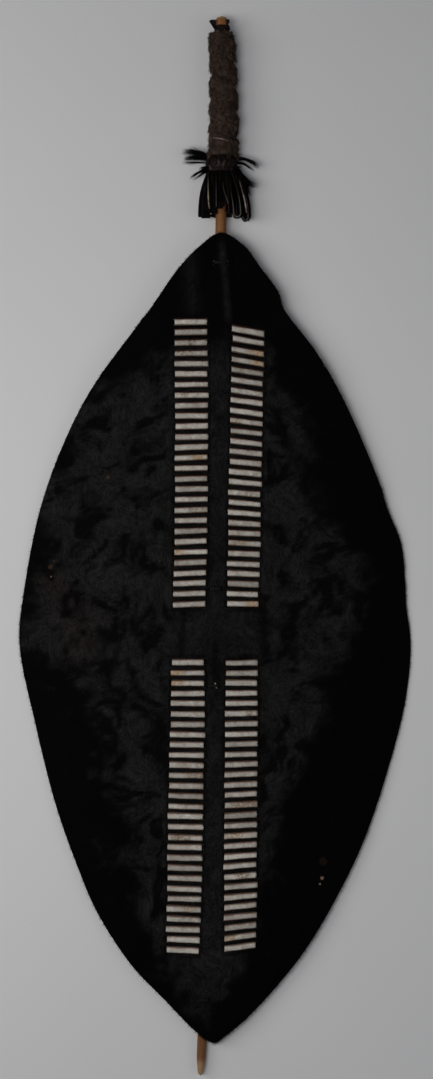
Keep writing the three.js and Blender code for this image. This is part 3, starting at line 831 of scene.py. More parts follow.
def slit_blocks():
    bm = bmesh.new()
    for column in COLUMNS.values():
        for bar, (x, y, lean, width) in enumerate(bars_of(column)):
            for leg in (LEG, -LEG):
                end = SLIT_END + chance.uniform(-0.6, 0.6)
                shift = slit_shift(bar, column[0][0], leg, 0)
                lean_here = lean + (slit_shift(bar, column[0][0], leg, 20) - shift) / 20
                size = (width + 2 * end, 2 * SLIT_HALF, HIDE_THICKNESS + 0.02)
                slant = (0.2, SLIT_SLANT) if leg > 0 else (SLIT_SLANT * 0.4, 0.2)
                block_with(bm, (x, y + leg + shift, HIDE_THICKNESS / 2), lean_here, size, slant)
    for y in TIES.values():
        reach = stick_radius(y) + TIE_ROOM + TIE_THICKNESS / 2
        for side in (-1, 1):
            size = (TIE_THICKNESS + 0.9, TIE_WIDTH + 1.2, HIDE_THICKNESS + 0.02)
            block_with(bm, (stick_x(y) + side * reach, y, HIDE_THICKNESS / 2), 0, size)
    bmesh.ops.recalc_face_normals(bm, faces=bm.faces)
    return mesh_of(bm, "slits")


def pucker(x, y):
    """The hide bulges between bars and is pressed flat under them."""
    rise = np.zeros_like(x)
    for column in COLUMNS.values():
        bars = list(bars_of(column))
        pitch = (bars[0][1] - bars[-1][1]) / (len(bars) - 1)
        for bx, by, lean, width in bars:
            u = (x - bx) * math.cos(lean) + (y - by) * math.sin(lean)
            v = (y - by) * math.cos(lean) - (x - bx) * math.sin(lean)
            inside = smooth((width / 2 + 6 - np.abs(u)) / 7)
            span = np.clip(1 - np.abs(v) / pitch, 0, 1)
            rise -= PUCKER * inside * (smooth(span * 2 - 0.72) - smooth(1.3 - np.abs(np.abs(v) - pitch / 2) / 3.4) / 2)
    return rise


def make_hide():
    outline = curved([(x + MOVED_X, y) for x, y in HIDE_EDGE], steps=12, closed=True)
    sheet = cut(hide_slab(), edge_prism(outline), "INTERSECT")
    sheet = cut(sheet, slit_blocks(), "DIFFERENCE")
    count = len(sheet.vertices)
    places = np.empty(count * 3)
    sheet.vertices.foreach_get("co", places)
    places = places.reshape(-1, 3)
    normals = np.empty(len(sheet.polygons) * 3)
    sheet.polygons.foreach_get("normal", normals)
    facing = normals.reshape(-1, 3)[:, 2]
    x, y, z = places.T
    near_edge = np.full(count, 99.0)
    for px, py in outline[::2]:
        near_edge = np.minimum(near_edge, np.hypot(x - px, y - py))
    rim = smooth((9 - near_edge) / 9)
    top = z > 2
    curls, zone, crest = brushed_coat(x, y)
    in_columns = smooth((np.abs(pucker(x, y))) / 0.1)
    places[:, 2] = z + under_z(x, y) + pucker(x, y) * np.where(top, 1, 0.4) - 0.9 * rim * top
    places[:, 2] += curls * top * (1 - in_columns) * smooth(near_edge / 14)
    sheet.vertices.foreach_set("co", (places * MM).ravel())
    kinds = np.where(facing > 0.75, 0, np.where(facing < -0.75, 1, 2)).astype(np.int32)
    piece = finish_piece(sheet, "hide_panel", [HAIR_COAT, FLESH_SIDE, CUT_EDGE], ["hide"])
    sheet.polygons.foreach_set("material_index", kinds)
    # Painted shade between the lacing's bars: the coat there gets less painted sheen.
    zone = zone * (1 - 0.62 * in_columns)
    for label, values in (("painted_sheen_zone", zone), ("crest", crest), ("russet", russet(x, y))):
        sheet.attributes.new(label, "FLOAT", "POINT").data.foreach_set("value", values.astype(np.float32))
    sheet.set_sharp_from_angle(angle=math.radians(50))
    sheet.update()
    return piece, outline


hide_panel, hide_outline = make_hide()


def make_rim_hair(outline, count=3600):
    """Short hair that stands out past the cut edge all round."""
    at = chance.integers(0, len(outline), count)
    ahead = outline[(at + 1) % len(outline)]
    spot = lerp(outline[at], ahead, chance.uniform(0, 1, (count, 1)))
    way = unit(ahead - outline[at])
    out = np.stack([-way[:, 1], way[:, 0]], axis=1)
    x, y = (spot - out * 1.2).T
    roots = np.stack([x, y, under_z(x, y) + HIDE_THICKNESS - 1.6], axis=1)
    flat = np.column_stack([out, np.zeros(count)])
    start = unit(flat + np.array([0, -0.3, 0.25]) + chance.normal(0, 0.22, (count, 3)))
    lay = unit(flat * 0.8 + np.array([0, -0.8, -0.2]) + chance.normal(0, 0.22, (count, 3)))
    paths = above_floor(bent_strands(roots, start, lay, chance.uniform(2.2, 6.0, count), 4))
    shades = np.clip(chance.normal(0.4, 0.2, count), 0, 1)
    mesh = hair_mesh("hide_rim_hair", paths, np.array([0.22, 0.2, 0.13, 0.04]), shades)
    finish_piece(mesh, "hide_rim_hair", [BLACK_LOCKS])


def make_grip_stitch():
    """The pale end of a thong that shows just below the grip."""
    line = np.array([(0.4, -209.5), (1.6, -213.5), (3.0, -218.0)])
    x, y = line.T
    points = np.column_stack([x, y, under_z(x, y) + HIDE_THICKNESS + np.array([0.4, 1.5, 0.3])])
    finish_mesh(thong(curved(points, 5), 2.5, 1.2, (0, 0, 1), taper=0.3), "grip_stitch", [WHITE_HIDE])


make_rim_hair(hide_outline)
make_grip_stitch()


# ---- The lacing ----------------------------------------------------------------------------------------------

# Stained bars: column, bar from the top, from and to across the strip (-1 left to 1 right), stain, grime.
STAINS = [
    ("lacing_upper_right", 2, 0.1, 1.2, 0.95, 0.2), ("lacing_upper_right", 3, 0.3, 1.2, 0.9, 0.3),
    ("lacing_upper_right", 27, 0.2, 1.0, 0.7, 0.1), ("lacing_upper_right", 9, -1.0, -0.3, 0.3, 0.5),
    ("lacing_upper_right", 16, 0.0, 0.8, 0.1, 0.6), ("lacing_upper_right", 21, -0.8, 0.1, 0.4, 0.4),
    ("lacing_upper_left", 2, -0.4, 0.3, 0.1, 0.9), ("lacing_upper_left", 3, -0.9, 0.1, 0.1, 0.7),
    ("lacing_upper_left", 13, 0.0, 1.1, 0.7, 0.3), ("lacing_upper_left", 22, -1.2, -0.4, 0.75, 0.2),
    ("lacing_upper_left", 18, 0.2, 1.0, 0.3, 0.5), ("lacing_upper_left", 7, -1.0, -0.2, 0.2, 0.5),
    ("lacing_lower_left", 1, -1.2, -0.3, 0.85, 0.2), ("lacing_lower_left", 2, -1.2, -0.3, 0.8, 0.2),
    ("lacing_lower_left", 11, 0.0, 1.0, 0.3, 0.6), ("lacing_lower_left", 17, -0.9, 0.3, 0.3, 0.7),
    ("lacing_lower_left", 24, -0.2, 0.8, 0.4, 0.4), ("lacing_lower_right", 14, -0.6, 1.0, 0.35, 0.5),
    ("lacing_lower_right", 17, -1.0, 0.2, 0.5, 0.4), ("lacing_lower_right", 21, -0.2, 0.6, 0.3, 0.7),
    ("lacing_lower_right", 27, -1.1, -0.3, 0.6, 0.3), ("lacing_lower_right", 5, 0.3, 1.1, 0.2, 0.6),
]  # fmt: skip

FRONT = HIDE_THICKNESS + STRIP_GAP + STRIP_THICKNESS / 2
BACK = -STRIP_GAP - STRIP_THICKNESS / 2
BEND = 1.25  # radius of the strip's bends, at its middle
STRIP_COLUMNS = 16
TAIL = 9.0


def strip_stations(column):
    """The strip's long line: for each station its distance up the column, height over the hide's underside,
    the bar it belongs to, how deep it is in a slit, and how far it is up its bar, from -1 to 1."""
    bars = list(bars_of(column))
    stations = [(bars[0][1] + LEG + TAIL, BACK, 0, 0.6, 1), (bars[0][1] + LEG + TAIL / 2, BACK, 0, 0.8, 1)]

    def bend(y, level, way, side, bar):
        """A quarter turn between a run at a level and a leg. way is +1 above the bar's middle."""
        inward = -1 if level == FRONT else 1
        for angle in (15, 45, 75):
            turn = math.radians(angle if side == "leave" else 90 - angle)
            run = BEND * (1 - math.sin(turn))
            rise = BEND * (1 - math.cos(turn))
            out = run if level == BACK else -run
            depth = 0.25 + 0.75 * angle / 90 if side == "leave" else 1 - 0.75 * angle / 90
            stations.append((y + way * out, level + inward * rise, bar, depth if level == FRONT else 1.0, way))

    for bar, (_, y, _, _) in enumerate(bars):
        bend(y + LEG, BACK, 1, "leave", bar)
        bend(y + LEG, FRONT, 1, "arrive", bar)
        for share in (0.55, 0.0, -0.55):
            stations.append((y + share * LEG, FRONT + 0.25 * (1 - abs(share)), bar, 0.0, share))
        bend(y - LEG, FRONT, -1, "leave", bar)
        bend(y - LEG, BACK, -1, "arrive", bar)
        if bar < len(bars) - 1:
            stations.append(((y + bars[bar + 1][1]) / 2, BACK, bar, 1.0, -1))
    stations += [(bars[-1][1] - LEG - TAIL / 2, BACK, len(bars) - 1, 0.8, -1)]
    stations += [(bars[-1][1] - LEG - TAIL, BACK, len(bars) - 1, 0.6, -1)]
    return bars, np.array(stations)


def make_strip(name):
    column = COLUMNS[name]
    bars, stations = strip_stations(column)
    bar_x, _, bar_lean, bar_width = np.array(bars).T
    rows = len(stations) - 1
    own_bar = stations[:, 2].astype(int)
    ends = bar_width / 2 + chance.normal(0, 0.55, (2, len(bars)))
    left, right = ends[:, own_bar] + chance.normal(0, 0.22, (2, rows + 1))
    upper, lower = (
        np.array([slit_shift(bar, column[0][0], way, np.linspace(-1, 1, STRIP_COLUMNS + 1) * 24) for bar in range(len(bars))])
        for way in (LEG, -LEG)
    )  # fmt: skip
    ripple = chance.normal(0, 0.16, (len(bars), STRIP_COLUMNS + 1))

    def place(across, along):
        at = np.rint(along * rows).astype(int)
        slot = np.rint(across * STRIP_COLUMNS).astype(int)
        s, level, bar, depth, rise = stations[at].T
        bar = bar.astype(int)
        s = s + lerp(lower[bar, slot], upper[bar, slot], (rise + 1) / 2)
        side = across * 2 - 1
        u = np.where(side < 0, side * left[at], side * right[at])
        x = bar_x[bar] + u * np.cos(bar_lean[bar])
        y = s + u * np.sin(bar_lean[bar])
        crown = np.where(depth < 0.5, 0.35 * (1 - side**4) - 0.2, 0.0)
        return np.stack([x, y, under_z(x, y) + level + crown + ripple[bar, slot] * (depth < 0.9)], axis=1)

    bm = sheet_mesh(STRIP_COLUMNS, rows, place)
    bmesh.ops.recalc_face_normals(bm, faces=bm.faces)
    bmesh.ops.scale(bm, vec=(MM, MM, MM), verts=bm.verts)
    mesh = mesh_of(bm, name)

    # The same order of points as the grid gives: across first, then along.
    order = np.arange((rows + 1) * (STRIP_COLUMNS + 1))
    at, slot = order // (STRIP_COLUMNS + 1), order % (STRIP_COLUMNS + 1)
    side = slot / STRIP_COLUMNS * 2 - 1
    bar = stations[at, 2].astype(int)
    stain, grime = np.zeros(len(order)), np.zeros(len(order))
    for strip, stained, start, end, yellow, dirt in STAINS:
        if strip == name:
            soft = smooth((side - start) / 0.25 + 0.5) * smooth((end - side) / 0.25 + 0.5) * (bar == stained)
            stain, grime = np.maximum(stain, soft * yellow), np.maximum(grime, soft * dirt)
    tone = np.clip(0.5 + chance.normal(0, 0.16, len(bars))[bar] + chance.normal(0, 0.05, len(order)), 0, 1)
    # How deep each point is in a slit, for its painted shade, and how far up its bar.
    painted_slit_shade, rise = stations[at, 3] * 0.9, stations[at, 4] / 2 + 0.5
    for label, values in (("stain", stain), ("grime", grime), ("tone", tone), ("painted_slit_shade", painted_slit_shade), ("rise", rise)):
        mesh.attributes.new(label, "FLOAT", "POINT").data.foreach_set("value", values.astype(np.float32))
    piece = finish_piece(mesh, name + "_strip", [WHITE_HIDE], [name])
    wall = piece.modifiers.new("thickness", "SOLIDIFY")
    wall.thickness = STRIP_THICKNESS * MM
    wall.offset = 0
    return piece


for strip_name in COLUMNS:
    make_strip(strip_name)


# ---- The stick -----------------------------------------------------------------------------------------------

STICK_SIDES, STICK_STATIONS = 28, 420
KNOTS = [(-640, 200, 0.9), (-405, 70, 0.7), (-250, 250, 0.8), (60, 130, 0.6), (300, 300, 0.8), (540, 60, 0.8)]
WHITTLED = 30.0


def make_stick():
    foot, head = STICK_FOOT_Y, STICK_HEAD_Y

    def place(around, along):
        angle = 2 * math.pi * around
        y = foot + (head - foot) * along
        # Stations are drawn in to the two ends, where the shape changes fastest.
        y = y + 40 * np.sin(2 * math.pi * along) * -1 * (head - foot) / 1642 * 0.9
        radius = stick_radius(y)
        radius = radius + 0.22 * np.sin(y / 31 + 2 * np.cos(angle)) + 0.14 * np.sin(y / 11 + angle * 2)
        for knot_y, knot_angle, size in KNOTS:
            turn = np.cos(angle - math.radians(knot_angle))
            radius = radius + size * np.exp(-(((y - knot_y) / 9) ** 2)) * np.clip(turn, 0, 1) ** 3
        whittled = smooth((foot + WHITTLED - y) / WHITTLED)
        facets = np.cos(math.pi / 7) / np.cos((angle % (2 * math.pi / 7)) - math.pi / 7)
        point = lerp(STICK_FOOT_RADIUS, 3.8, np.clip((foot + WHITTLED - y) / WHITTLED, 0, 1)) * facets
        radius = lerp(radius, point, whittled)
        blunt = np.clip((y - foot) / 1.5, 0, 1)
        radius = radius * np.sqrt(np.clip(blunt * (2 - blunt), 0.02, 1))
        dome = np.clip((y - (head - 9)) / 9, 0, 1)
        radius = radius * np.sqrt(np.clip(1 - dome**2.2, 1e-4, 1))
        return np.stack(
            [stick_x(y) + radius * np.sin(angle), y, stick_z(y) + radius * np.cos(angle)], axis=1
        )

    bm = tube_mesh(STICK_SIDES, STICK_STATIONS, place)
    ys = places_of(bm)[:, 1]
    cut_wood = np.maximum(smooth((ys - (head - 7)) / 4), 0.55 * smooth((foot + WHITTLED - ys) / 14))
    mesh_values = cut_wood.astype(np.float32)
    piece = finish_mesh(bm, "stick_rod", [WOOD], ["stick"])
    piece.data.attributes.new("pale_cut", "FLOAT", "POINT").data.foreach_set("value", mesh_values)


make_stick()


# ---- The ties ------------------------------------------------------------------------------------------------


def tie_loop(y, width, slip, grow):
    """One turn of thong round the stick and over the hide, slipped along the stick as it goes."""
    reach = stick_radius(y) + TIE_ROOM + TIE_THICKNESS / 2 + grow
    top = under_z(np.array([stick_x(y)]), np.array([y]))[0] - stick_z(y) + HIDE_THICKNESS + STRIP_GAP
    top += TIE_THICKNESS / 2 + grow
    corners = [(reach, 0), (reach, top * 0.55), (reach * 0.94, top * 0.93), (reach * 0.6, top * 1.02)]
    corners += [(-x, z) for x, z in reversed(corners)]
    corners += [(reach * math.cos(a), reach * math.sin(a)) for a in np.radians([205, 232, 258, 282, 308, 335])]
    loop = curved([(x, 0, z) for x, z in corners], steps=6, closed=True)
    loop = np.concatenate([loop, loop[:1]])
    loop[:, 1] = np.sin(np.linspace(0, 2 * math.pi, len(loop))) * slip
    centre = np.array([stick_x(y), y, stick_z(y)])
    return thong(loop + centre, width, TIE_THICKNESS * 0.8, lambda along, middle: unit(middle - centre + 1e-6))


def tie_knot(y, side):
    """A small overhand knot beside the stick, with two short ends."""
    centre = np.array([stick_x(y) + side * (stick_radius(y) + 5.2), y, stick_z(y) + 1.5])
    turns = np.linspace(0, 2 * math.pi, 40)
    knot = np.stack([
        (np.sin(turns) + 2 * np.sin(2 * turns)) * 0.95 * side,
        (np.cos(turns) - 2 * np.cos(2 * turns)) * 1.15,
        -np.sin(3 * turns) * 1.1,
    ], axis=1)  # fmt: skip
    up = lambda along, middle: unit(middle - centre + np.array([0.01, 0, 0.02]))
    parts = [thong(knot + centre, 2.3, 1.3, up)]
    for end, way in ((1, 9), (-1, -12)):
        tail = curved([(0, end * 1.5, 0), (side * 4, end * 5, -1.5), (side * 7, way, -3.5), (side * 8, way * 1.6, -4)], 6)
        parts.append(thong(above_floor(tail + centre, 1.2), 2.6, 1.2, (0.2, 0.1, 1.0), taper=0.55))
    return parts


def make_tie(name, y, knot_side):
    turns = [tie_loop(y - 1.5, 2.9, 0.5, 0.0), tie_loop(y + 1.5, 2.9, -0.5, 0.0)]
    finish_mesh(join(*turns, *tie_knot(y, knot_side)), name + "_thong", [BLACK_THONG], [name])


for index, (tie_name, tie_y) in enumerate(TIES.items()):
    make_tie(tie_name, tie_y, 1 if index % 2 else -1)


# ---- The fur on the stick's head -----------------------------------------------------------------------------


def seam_depth(y, angle):
    """1 in the seam between two turns of the fur, 0 on the middle of a turn."""
    phase = (y - FUR_FOOT_Y) / FUR_TURN - angle / (2 * math.pi)
    return np.exp(-(((phase - np.rint(phase)) / 0.11) ** 2))


# Notches in the fur's outline: place along the stick, angle round it, height, width round it, and depth.
NOTCHES = [
    (735.5, 180, 4.5, 55, 5.0), (699, 180, 4.0, 40, 3.0), (669, 172, 5.0, 45, 2.6), (678, 0, 4.0, 40, 2.6),
    (635.5, 8, 4.2, 60, 6.0), (640, 100, 4.0, 50, 2.2), (747, 30, 4.0, 30, 1.6),
]  # fmt: skip


def fur_radius(y, angle):
    share = (y - FUR_FOOT_Y) / (FUR_HEAD_Y - FUR_FOOT_Y)
    ends = 2.6 * np.clip(1 - share / 0.03, 0, 1) ** 2 + 1.2 * np.clip(1 - (1 - share) / 0.012, 0, 1)
    lumps = 0.7 * np.sin(y / 13 + 2 * angle) * np.sin(y / 7.3 - angle)
    radius = lerp(FUR_FOOT_RADIUS, FUR_HEAD_RADIUS, share) - ends + lumps - 2.6 * seam_depth(y, angle)
    for at, turn, tall, wide, depth in NOTCHES:
        off = np.degrees((angle - math.radians(turn) + math.pi) % (2 * math.pi) - math.pi)
        radius = radius - depth * np.exp(-(((y - at) / tall) ** 2) - (off / wide) ** 2)
    return radius


def on_fur(y, angle, inset):
    radius = fur_radius(y, angle) - inset
    share = np.clip((y - FUR_FOOT_Y) / (FUR_HEAD_Y - FUR_FOOT_Y), 0, 1)
    middle_x = stick_x(y) + FUR_SWAY * np.sin(math.pi * np.sqrt(share * 0.92 + 0.02))
    return np.stack([middle_x + radius * np.cos(angle), y, stick_z(y) + radius * np.sin(angle)], axis=-1)


FUR_INSET = 3.4


def fur_tone_and_painted_shade(y, angle):
    """Painted light and shade: lighter and redder on the left and in the middle turns, painted shade along a band right
    of the middle, on the right side and in the seams between turns, and darker towards the head and the foot.
    """
    dark_band = np.exp(-(((np.degrees(angle) - 60) / 28) ** 2))
    shade = 0.60 - 0.42 * dark_band - 0.10 * (np.cos(angle) > 0.55) - 0.16 * smooth((628 - y) / 18)
    return shade - 0.10 * smooth((y - 770) / 20) - 0.22 * seam_depth(y, angle) - 0.2 * smooth((617 - y) / 12)


def fur_hair(name, clumps, hairs, length, lift, thickness, wild=0.16):
    """Hair in clumps that lean together, down the stick and outwards."""
    count = clumps * hairs
    clump_angle, clump_y = chance.uniform(0, 2 * math.pi, clumps), chance.uniform(FUR_FOOT_Y + 1, FUR_HEAD_Y - 0.5, clumps)
    clump_way = chance.normal(0, 1, (clumps, 2)) * (0.42, 0.3)
    # Each clump's shade carries the fur's painted light and shade, plus a random tone.
    clump_shade = fur_tone_and_painted_shade(clump_y, clump_angle) + chance.normal(0, 0.11, clumps)
    own = np.repeat(np.arange(clumps), hairs)
    y = np.clip(clump_y[own] + chance.normal(0, 1.8, count), FUR_FOOT_Y + 0.5, FUR_HEAD_Y - 0.3)
    angle = clump_angle[own] + chance.normal(0, 0.085, count)
    roots = on_fur(y, angle, FUR_INSET + 0.4)
    out = np.stack([np.cos(angle), 0 * angle, np.sin(angle)], axis=1)
    round_way = np.stack([-np.sin(angle), 0 * angle, np.cos(angle)], axis=1)
    down = np.array([[0.0, -1.0, 0.0]]) * (1 - 1.25 * smooth((y - FUR_HEAD_Y + 11) / 11))[:, None]
    bent = clump_way[own, :1] * round_way + clump_way[own, 1:] * down
    start = unit(out * lift + down * 0.45 + bent * 0.7 + chance.normal(0, wild, (count, 3)))
    lay = unit(out * lift * 0.34 + down + bent * 1.3 + chance.normal(0, wild, (count, 3)))
    lengths = length * chance.uniform(0.65, 1.2, count) * (1 - 0.35 * smooth((y - FUR_HEAD_Y + 9) / 9))
    lengths = lengths * (1 + 0.6 * smooth((618 - y) / 14))
    paths = bent_strands(roots, start, lay, lengths, 5)
    # The tips of a clump draw together.
    heart = paths.reshape(clumps, hairs, 5, 3).mean(axis=1)[own]
    paths = lerp(paths, heart, np.array([0, 0.08, 0.2, 0.34, 0.45])[None, :, None])
    paths[..., 1] = np.minimum(paths[..., 1], FUR_HEAD_Y + 2.5)
    taper = np.array([0.9, 1.0, 0.8, 0.5, 0.12]) * thickness
    radii = taper * chance.uniform(0.75, 1.25, count)[:, None]
    mesh = hair_mesh(name, above_floor(paths, 0.3), radii, np.clip(clump_shade[own] + chance.normal(0, 0.04, count), 0, 1))
    finish_piece(mesh, name, [BROWN_FUR])


def make_fur():
    def place(around, along):
        y = lerp(FUR_FOOT_Y, FUR_HEAD_Y, along)
        return above_floor(on_fur(y, around * 2 * math.pi, FUR_INSET), 0.6)

    finish_mesh(tube_mesh(44, 120, place), "fur_pelt", [FUR_SKIN], ["fur_wrap"])
    fur_hair("fur_underhair", 620, 8, 6.5, 0.85, 0.44)
    fur_hair("fur_guard_hair", 520, 11, 9.5, 0.62, 0.36)
    fur_hair("fur_stray_hair", 420, 4, 10.5, 1.1, 0.15, 0.3)


make_fur()


def make_bare_seam():
    """A narrow line of bare skin where the last turn of the fur starts, with a dark red end."""
    for name, angles, y, width, finish in (
        ("fur_bare_line", (128, 70), (628, 622), 1.3, PINK_EDGE), ("fur_dark_line", (68, 32), (627, 624), 3.0, RED_THONG),
    ):  # fmt: skip
        angle, along = np.radians(np.linspace(*angles, 14)), np.linspace(*y, 14)
        line = on_fur(along, angle, 0.2)
        line[:, 2] += 0.9 * np.sin(np.linspace(0, math.pi, 14))
        strap = thong(line, width, 0.8, (0.05, 0.0, 1.0), taper=0.7)
        piece = finish_mesh(strap, name, [finish])
        bare = piece.data.attributes.new("bare", "FLOAT", "POINT")
        bare.data.foreach_set("value", np.full(len(piece.data.vertices), 0.75, np.float32))


make_bare_seam()


# ---- The fringe ----------------------------------------------------------------------------------------------

# Looped strips: angle of the root and of the foot round the stick, foot, reach, width, twist in degrees, radius
# of the loop, and which edge shows.
FRINGE_STRIPS = [
    (158, 168, 511, 30, 12, -72, 3.4, "red"), (136, 148, 508, 28, 13, -52, 3.4, "cream"),
    (114, 122, 514, 24.5, 12, -24, 3.4, "red"), (96, 101, 522, 23, 13, -12, 3.0, "grey"),
    (82, 78, 525, 25.5, 17, 8, 3.0, "grey"), (62, 57, 514, 29, 12, -18, 3.4, "red"),
    (44, 37, 507, 39, 12, -36, 5.6, "grey"), (28, 20, 510, 40, 12, 40, 3.6, "red"),
    (12, 9, 504, 43, 12, -10, 4.2, "grey"), (352, 352, 508, 42, 13, -40, 3.6, "red"),
    (180, 186, 511, 29, 12, -20, 3.6, "red"), (200, 206, 512, 31, 14, 20, 3.6, "red"),
    (230, 236, 514, 29, 14, 0, 3.6, "grey"), (262, 262, 513, 27, 14, 15, 3.6, "red"),
    (292, 290, 514, 29, 14, -15, 3.6, "grey"), (324, 322, 512, 36, 14, 20, 3.6, "red"),
]  # fmt: skip
STRIP_WALL = 1.7
STRIP_EDGES = {"red": RED_EDGE, "grey": GREY_EDGE, "cream": CREAM_EDGE, "pink": PINK_EDGE}


def fringe_strip(root, foot, foot_y, reach, width, twist, loop):
    """The middle line of one strip, with its width's direction: down the outside, round, and up the inside."""
    out_run, turn, in_run = np.linspace(0, 1, 16), np.linspace(0, 1, 9)[1:-1], np.linspace(1, 0, 14)
    rows = []
    for share in out_run:
        rows.append((share, 0.0, 0.0))
    for share in turn:
        angle = math.pi * share
        rows.append((1.0, loop * (1 - math.cos(angle)), loop * math.sin(angle)))
    for share in in_run:
        rows.append((share, 2 * loop * smooth(0.3 + share), 0.0))
    share, inset, drop = np.array(rows).T
    y = lerp(BAND_FOOT_Y + 4, foot_y + loop, share) - drop
    angle = np.radians(lerp(root, foot, share))
    spread = lerp(BAND_RADIUS - 3.5, reach, 1 - (1 - share) ** 2.1)
    turned = np.radians(twist) * smooth(share * 1.2)
    out = np.stack([np.cos(angle), 0 * angle, np.sin(angle)], axis=1)
    tangent = np.stack([-np.sin(angle), 0 * angle, np.cos(angle)], axis=1)
    face = out * np.cos(turned)[:, None] + tangent * np.sin(turned)[:, None]
    side = tangent * np.cos(turned)[:, None] - out * np.sin(turned)[:, None]
    middle = out * spread[:, None] - face * inset[:, None]
    flatten = np.array([1, 1, FRINGE_FLATTEN + 0.06])
    middle = middle * flatten + np.stack([stick_x(y), y, stick_z(y)], axis=1)
    span = width * lerp(0.55, 1.0, smooth(share * 2.5))
    return middle, side, face, span, share


def make_fringe():
    roots, outs, lays, reaches = [], [], [], []
    for number, (*strip, edge) in enumerate(FRINGE_STRIPS):
        middle, side, face, span, share = fringe_strip(*strip)
        rows = len(middle) - 1

        def place(across, along):
            at = np.rint(along * rows).astype(int)
            offset = (across - 0.5) * span[at]
            cup = -((across - 0.5) ** 2) * 3.2
            wave = 0.5 * np.sin(at / 3.1 + strip[0]) * (across - 0.5)
            return above_floor(middle[at] + side[at] * offset[:, None] + face[at] * (cup + wave)[:, None], 1.2)

        sheet = sheet_mesh(6, rows, place)
        bmesh.ops.recalc_face_normals(sheet, faces=sheet.faces)
        piece = finish_mesh(sheet, f"fringe_strip_{number + 1}", [BLACK_HIDE_STRIP, STRIP_EDGES[edge]],
                            ["fringe"] if number == 0 else ())
        bare = np.repeat(smooth((share - 0.5) / 0.5), 7).astype(np.float32)
        piece.data.attributes.new("bare", "FLOAT", "POINT").data.foreach_set("value", bare)
        wall = piece.modifiers.new("thickness", "SOLIDIFY")
        wall.thickness = STRIP_WALL * MM
        wall.offset = 0
        wall.material_offset_rim = 1

        count = 300
        at = chance.uniform(0.5, 17, count)
        low = at.astype(int)
        blend = (at - low)[:, None]
        offset = chance.uniform(-0.44, 0.44, count)[:, None] * span[low][:, None]
        spot = lerp(middle[low], middle[low + 1], blend) + side[low] * offset
        roots.append(spot + face[low] * STRIP_WALL * 0.45)
        outs.append(unit(face[low] * 0.40 + np.array([0, -1.0, 0]) + chance.normal(0, 0.10, (count, 3))))
        lays.append(unit(face[low] * 0.04 + np.array([0, -1.0, 0]) + chance.normal(0, 0.10, (count, 3))))
        room = spot[:, 1] - strip[2] - 1.5 + chance.normal(0, 1.0, count)
        reaches.append(np.minimum(chance.uniform(7, 13, count), np.maximum(room, 2.2)))

    roots, outs, lays, reaches = (np.concatenate(rows) for rows in (roots, outs, lays, reaches))
    paths = above_floor(bent_strands(roots, outs, lays, reaches, 4))
    taper = np.array([0.36, 0.34, 0.24, 0.07])
    shades = np.clip(chance.normal(0.45, 0.2, len(roots)), 0, 1)
    finish_piece(hair_mesh("fringe_hair", paths, taper, shades), "fringe_hair", [BLACK_LOCKS])


# Single strips that stand on edge over the loops: points across the floor and along the stick, the height over
# the stick's line, how thick they look from above, and their finish.
EDGE_SLIPS = [
    ([(-9.5, 577), (-9.9, 551), (-9.0, 528), (-5.6, 513)], (11, 13, 12, 9), 2.0, "cream"),
    ([(2.4, 577), (2.3, 555), (2.4, 523)], (15, 17, 15), 1.2, "grey"),
    ([(12.5, 560), (14.5, 547), (19, 534), (23, 521)], (17, 18, 17, 14), 1.4, "grey"),
    ([(38.0, 565), (41.7, 550), (44.3, 541), (46.7, 530), (49, 515)], (9, 12, 13, 13, 11), 2.3, "pink"),
]  # fmt: skip


def make_edge_slips():
    for number, (line, rise, thick, edge) in enumerate(EDGE_SLIPS):
        points = curved([(x, y, stick_z(y) + z) for (x, y), z in zip(line, rise)], 6)
        slip = thong(points, 7.0, thick, (1.0, 0.0, 0.12), taper=0.2)
        piece = finish_mesh(slip, f"fringe_slip_{number + 1}", [STRIP_EDGES[edge]])
        along = (577 - places_of_mesh(piece)[:, 1]) / 60
        bare = piece.data.attributes.new("bare", "FLOAT", "POINT")
        bare.data.foreach_set("value", smooth(along * 1.3 - 0.1).astype(np.float32))


def black_hide_strip():
    f = Finish("black_hide_strip", roughness=0.55, Specular_IOR_Level=0.06)
    grain = f.noise(1.0, f.scaled((700, 90, 700)), detail=4)
    color = f.ramp(grain, (0.3, (0.0012, 0.001, 0.001)), (0.7, (0.006, 0.0042, 0.004)))
    color = f.mix(f.ramp(f.noise(60, detail=2), (0.5, 0.0), (0.7, 0.6)), color, (0.016, 0.007, 0.006))
    return f.done(color, normal=f.relief(grain, 0.5, 0.8))


BLACK_HIDE_STRIP = black_hide_strip()
make_fringe()
make_edge_slips()

# Locks of the ruff: root angle round the band, its height on the band, points of its line from the root as
# (outwards across the floor, along the stick, up), how many hairs, and its half width.
RUFF_LOCKS = [
    (165, 603, [(0, 0), (13, 4), (27, 7), (40, 7)], 210, 3.6), (172, 601, [(0, 0), (12, 1), (25, 1), (37, -1)], 190, 3.2),
    (168, 604, [(0, 0), (10, 5), (19, 9), (27, 13)], 40, 2.2), (184, 594, [(0, 0), (16, 1), (39, 0)], 46, 0.8),
    (190, 588, [(0, 0), (9, -5), (18, -10), (28, -16)], 80, 1.5), (196, 583, [(0, 0), (8, -4), (15, -9), (24, -14)], 40, 1.2),
    (12, 599, [(0, 0), (12, 2), (25, -4), (37, -13)], 110, 1.6), (6, 597, [(0, 0), (13, 2), (27, 0), (40, -9)], 40, 1.2),
    (355, 594, [(0, 0), (11, 0), (22, -6), (30, -12)], 70, 1.6), (26, 590, [(0, 0), (8, -12), (18, -24), (31, -34)], 300, 5.2),
    (16, 586, [(0, 0), (9, -14), (18, -28), (24, -42)], 260, 4.8), (8, 584, [(0, 0), (10, -10), (21, -20), (34, -27)], 90, 3.6),
    (352, 584, [(0, 0), (8, -14), (15, -30), (19, -48)], 200, 4.6),
]  # fmt: skip


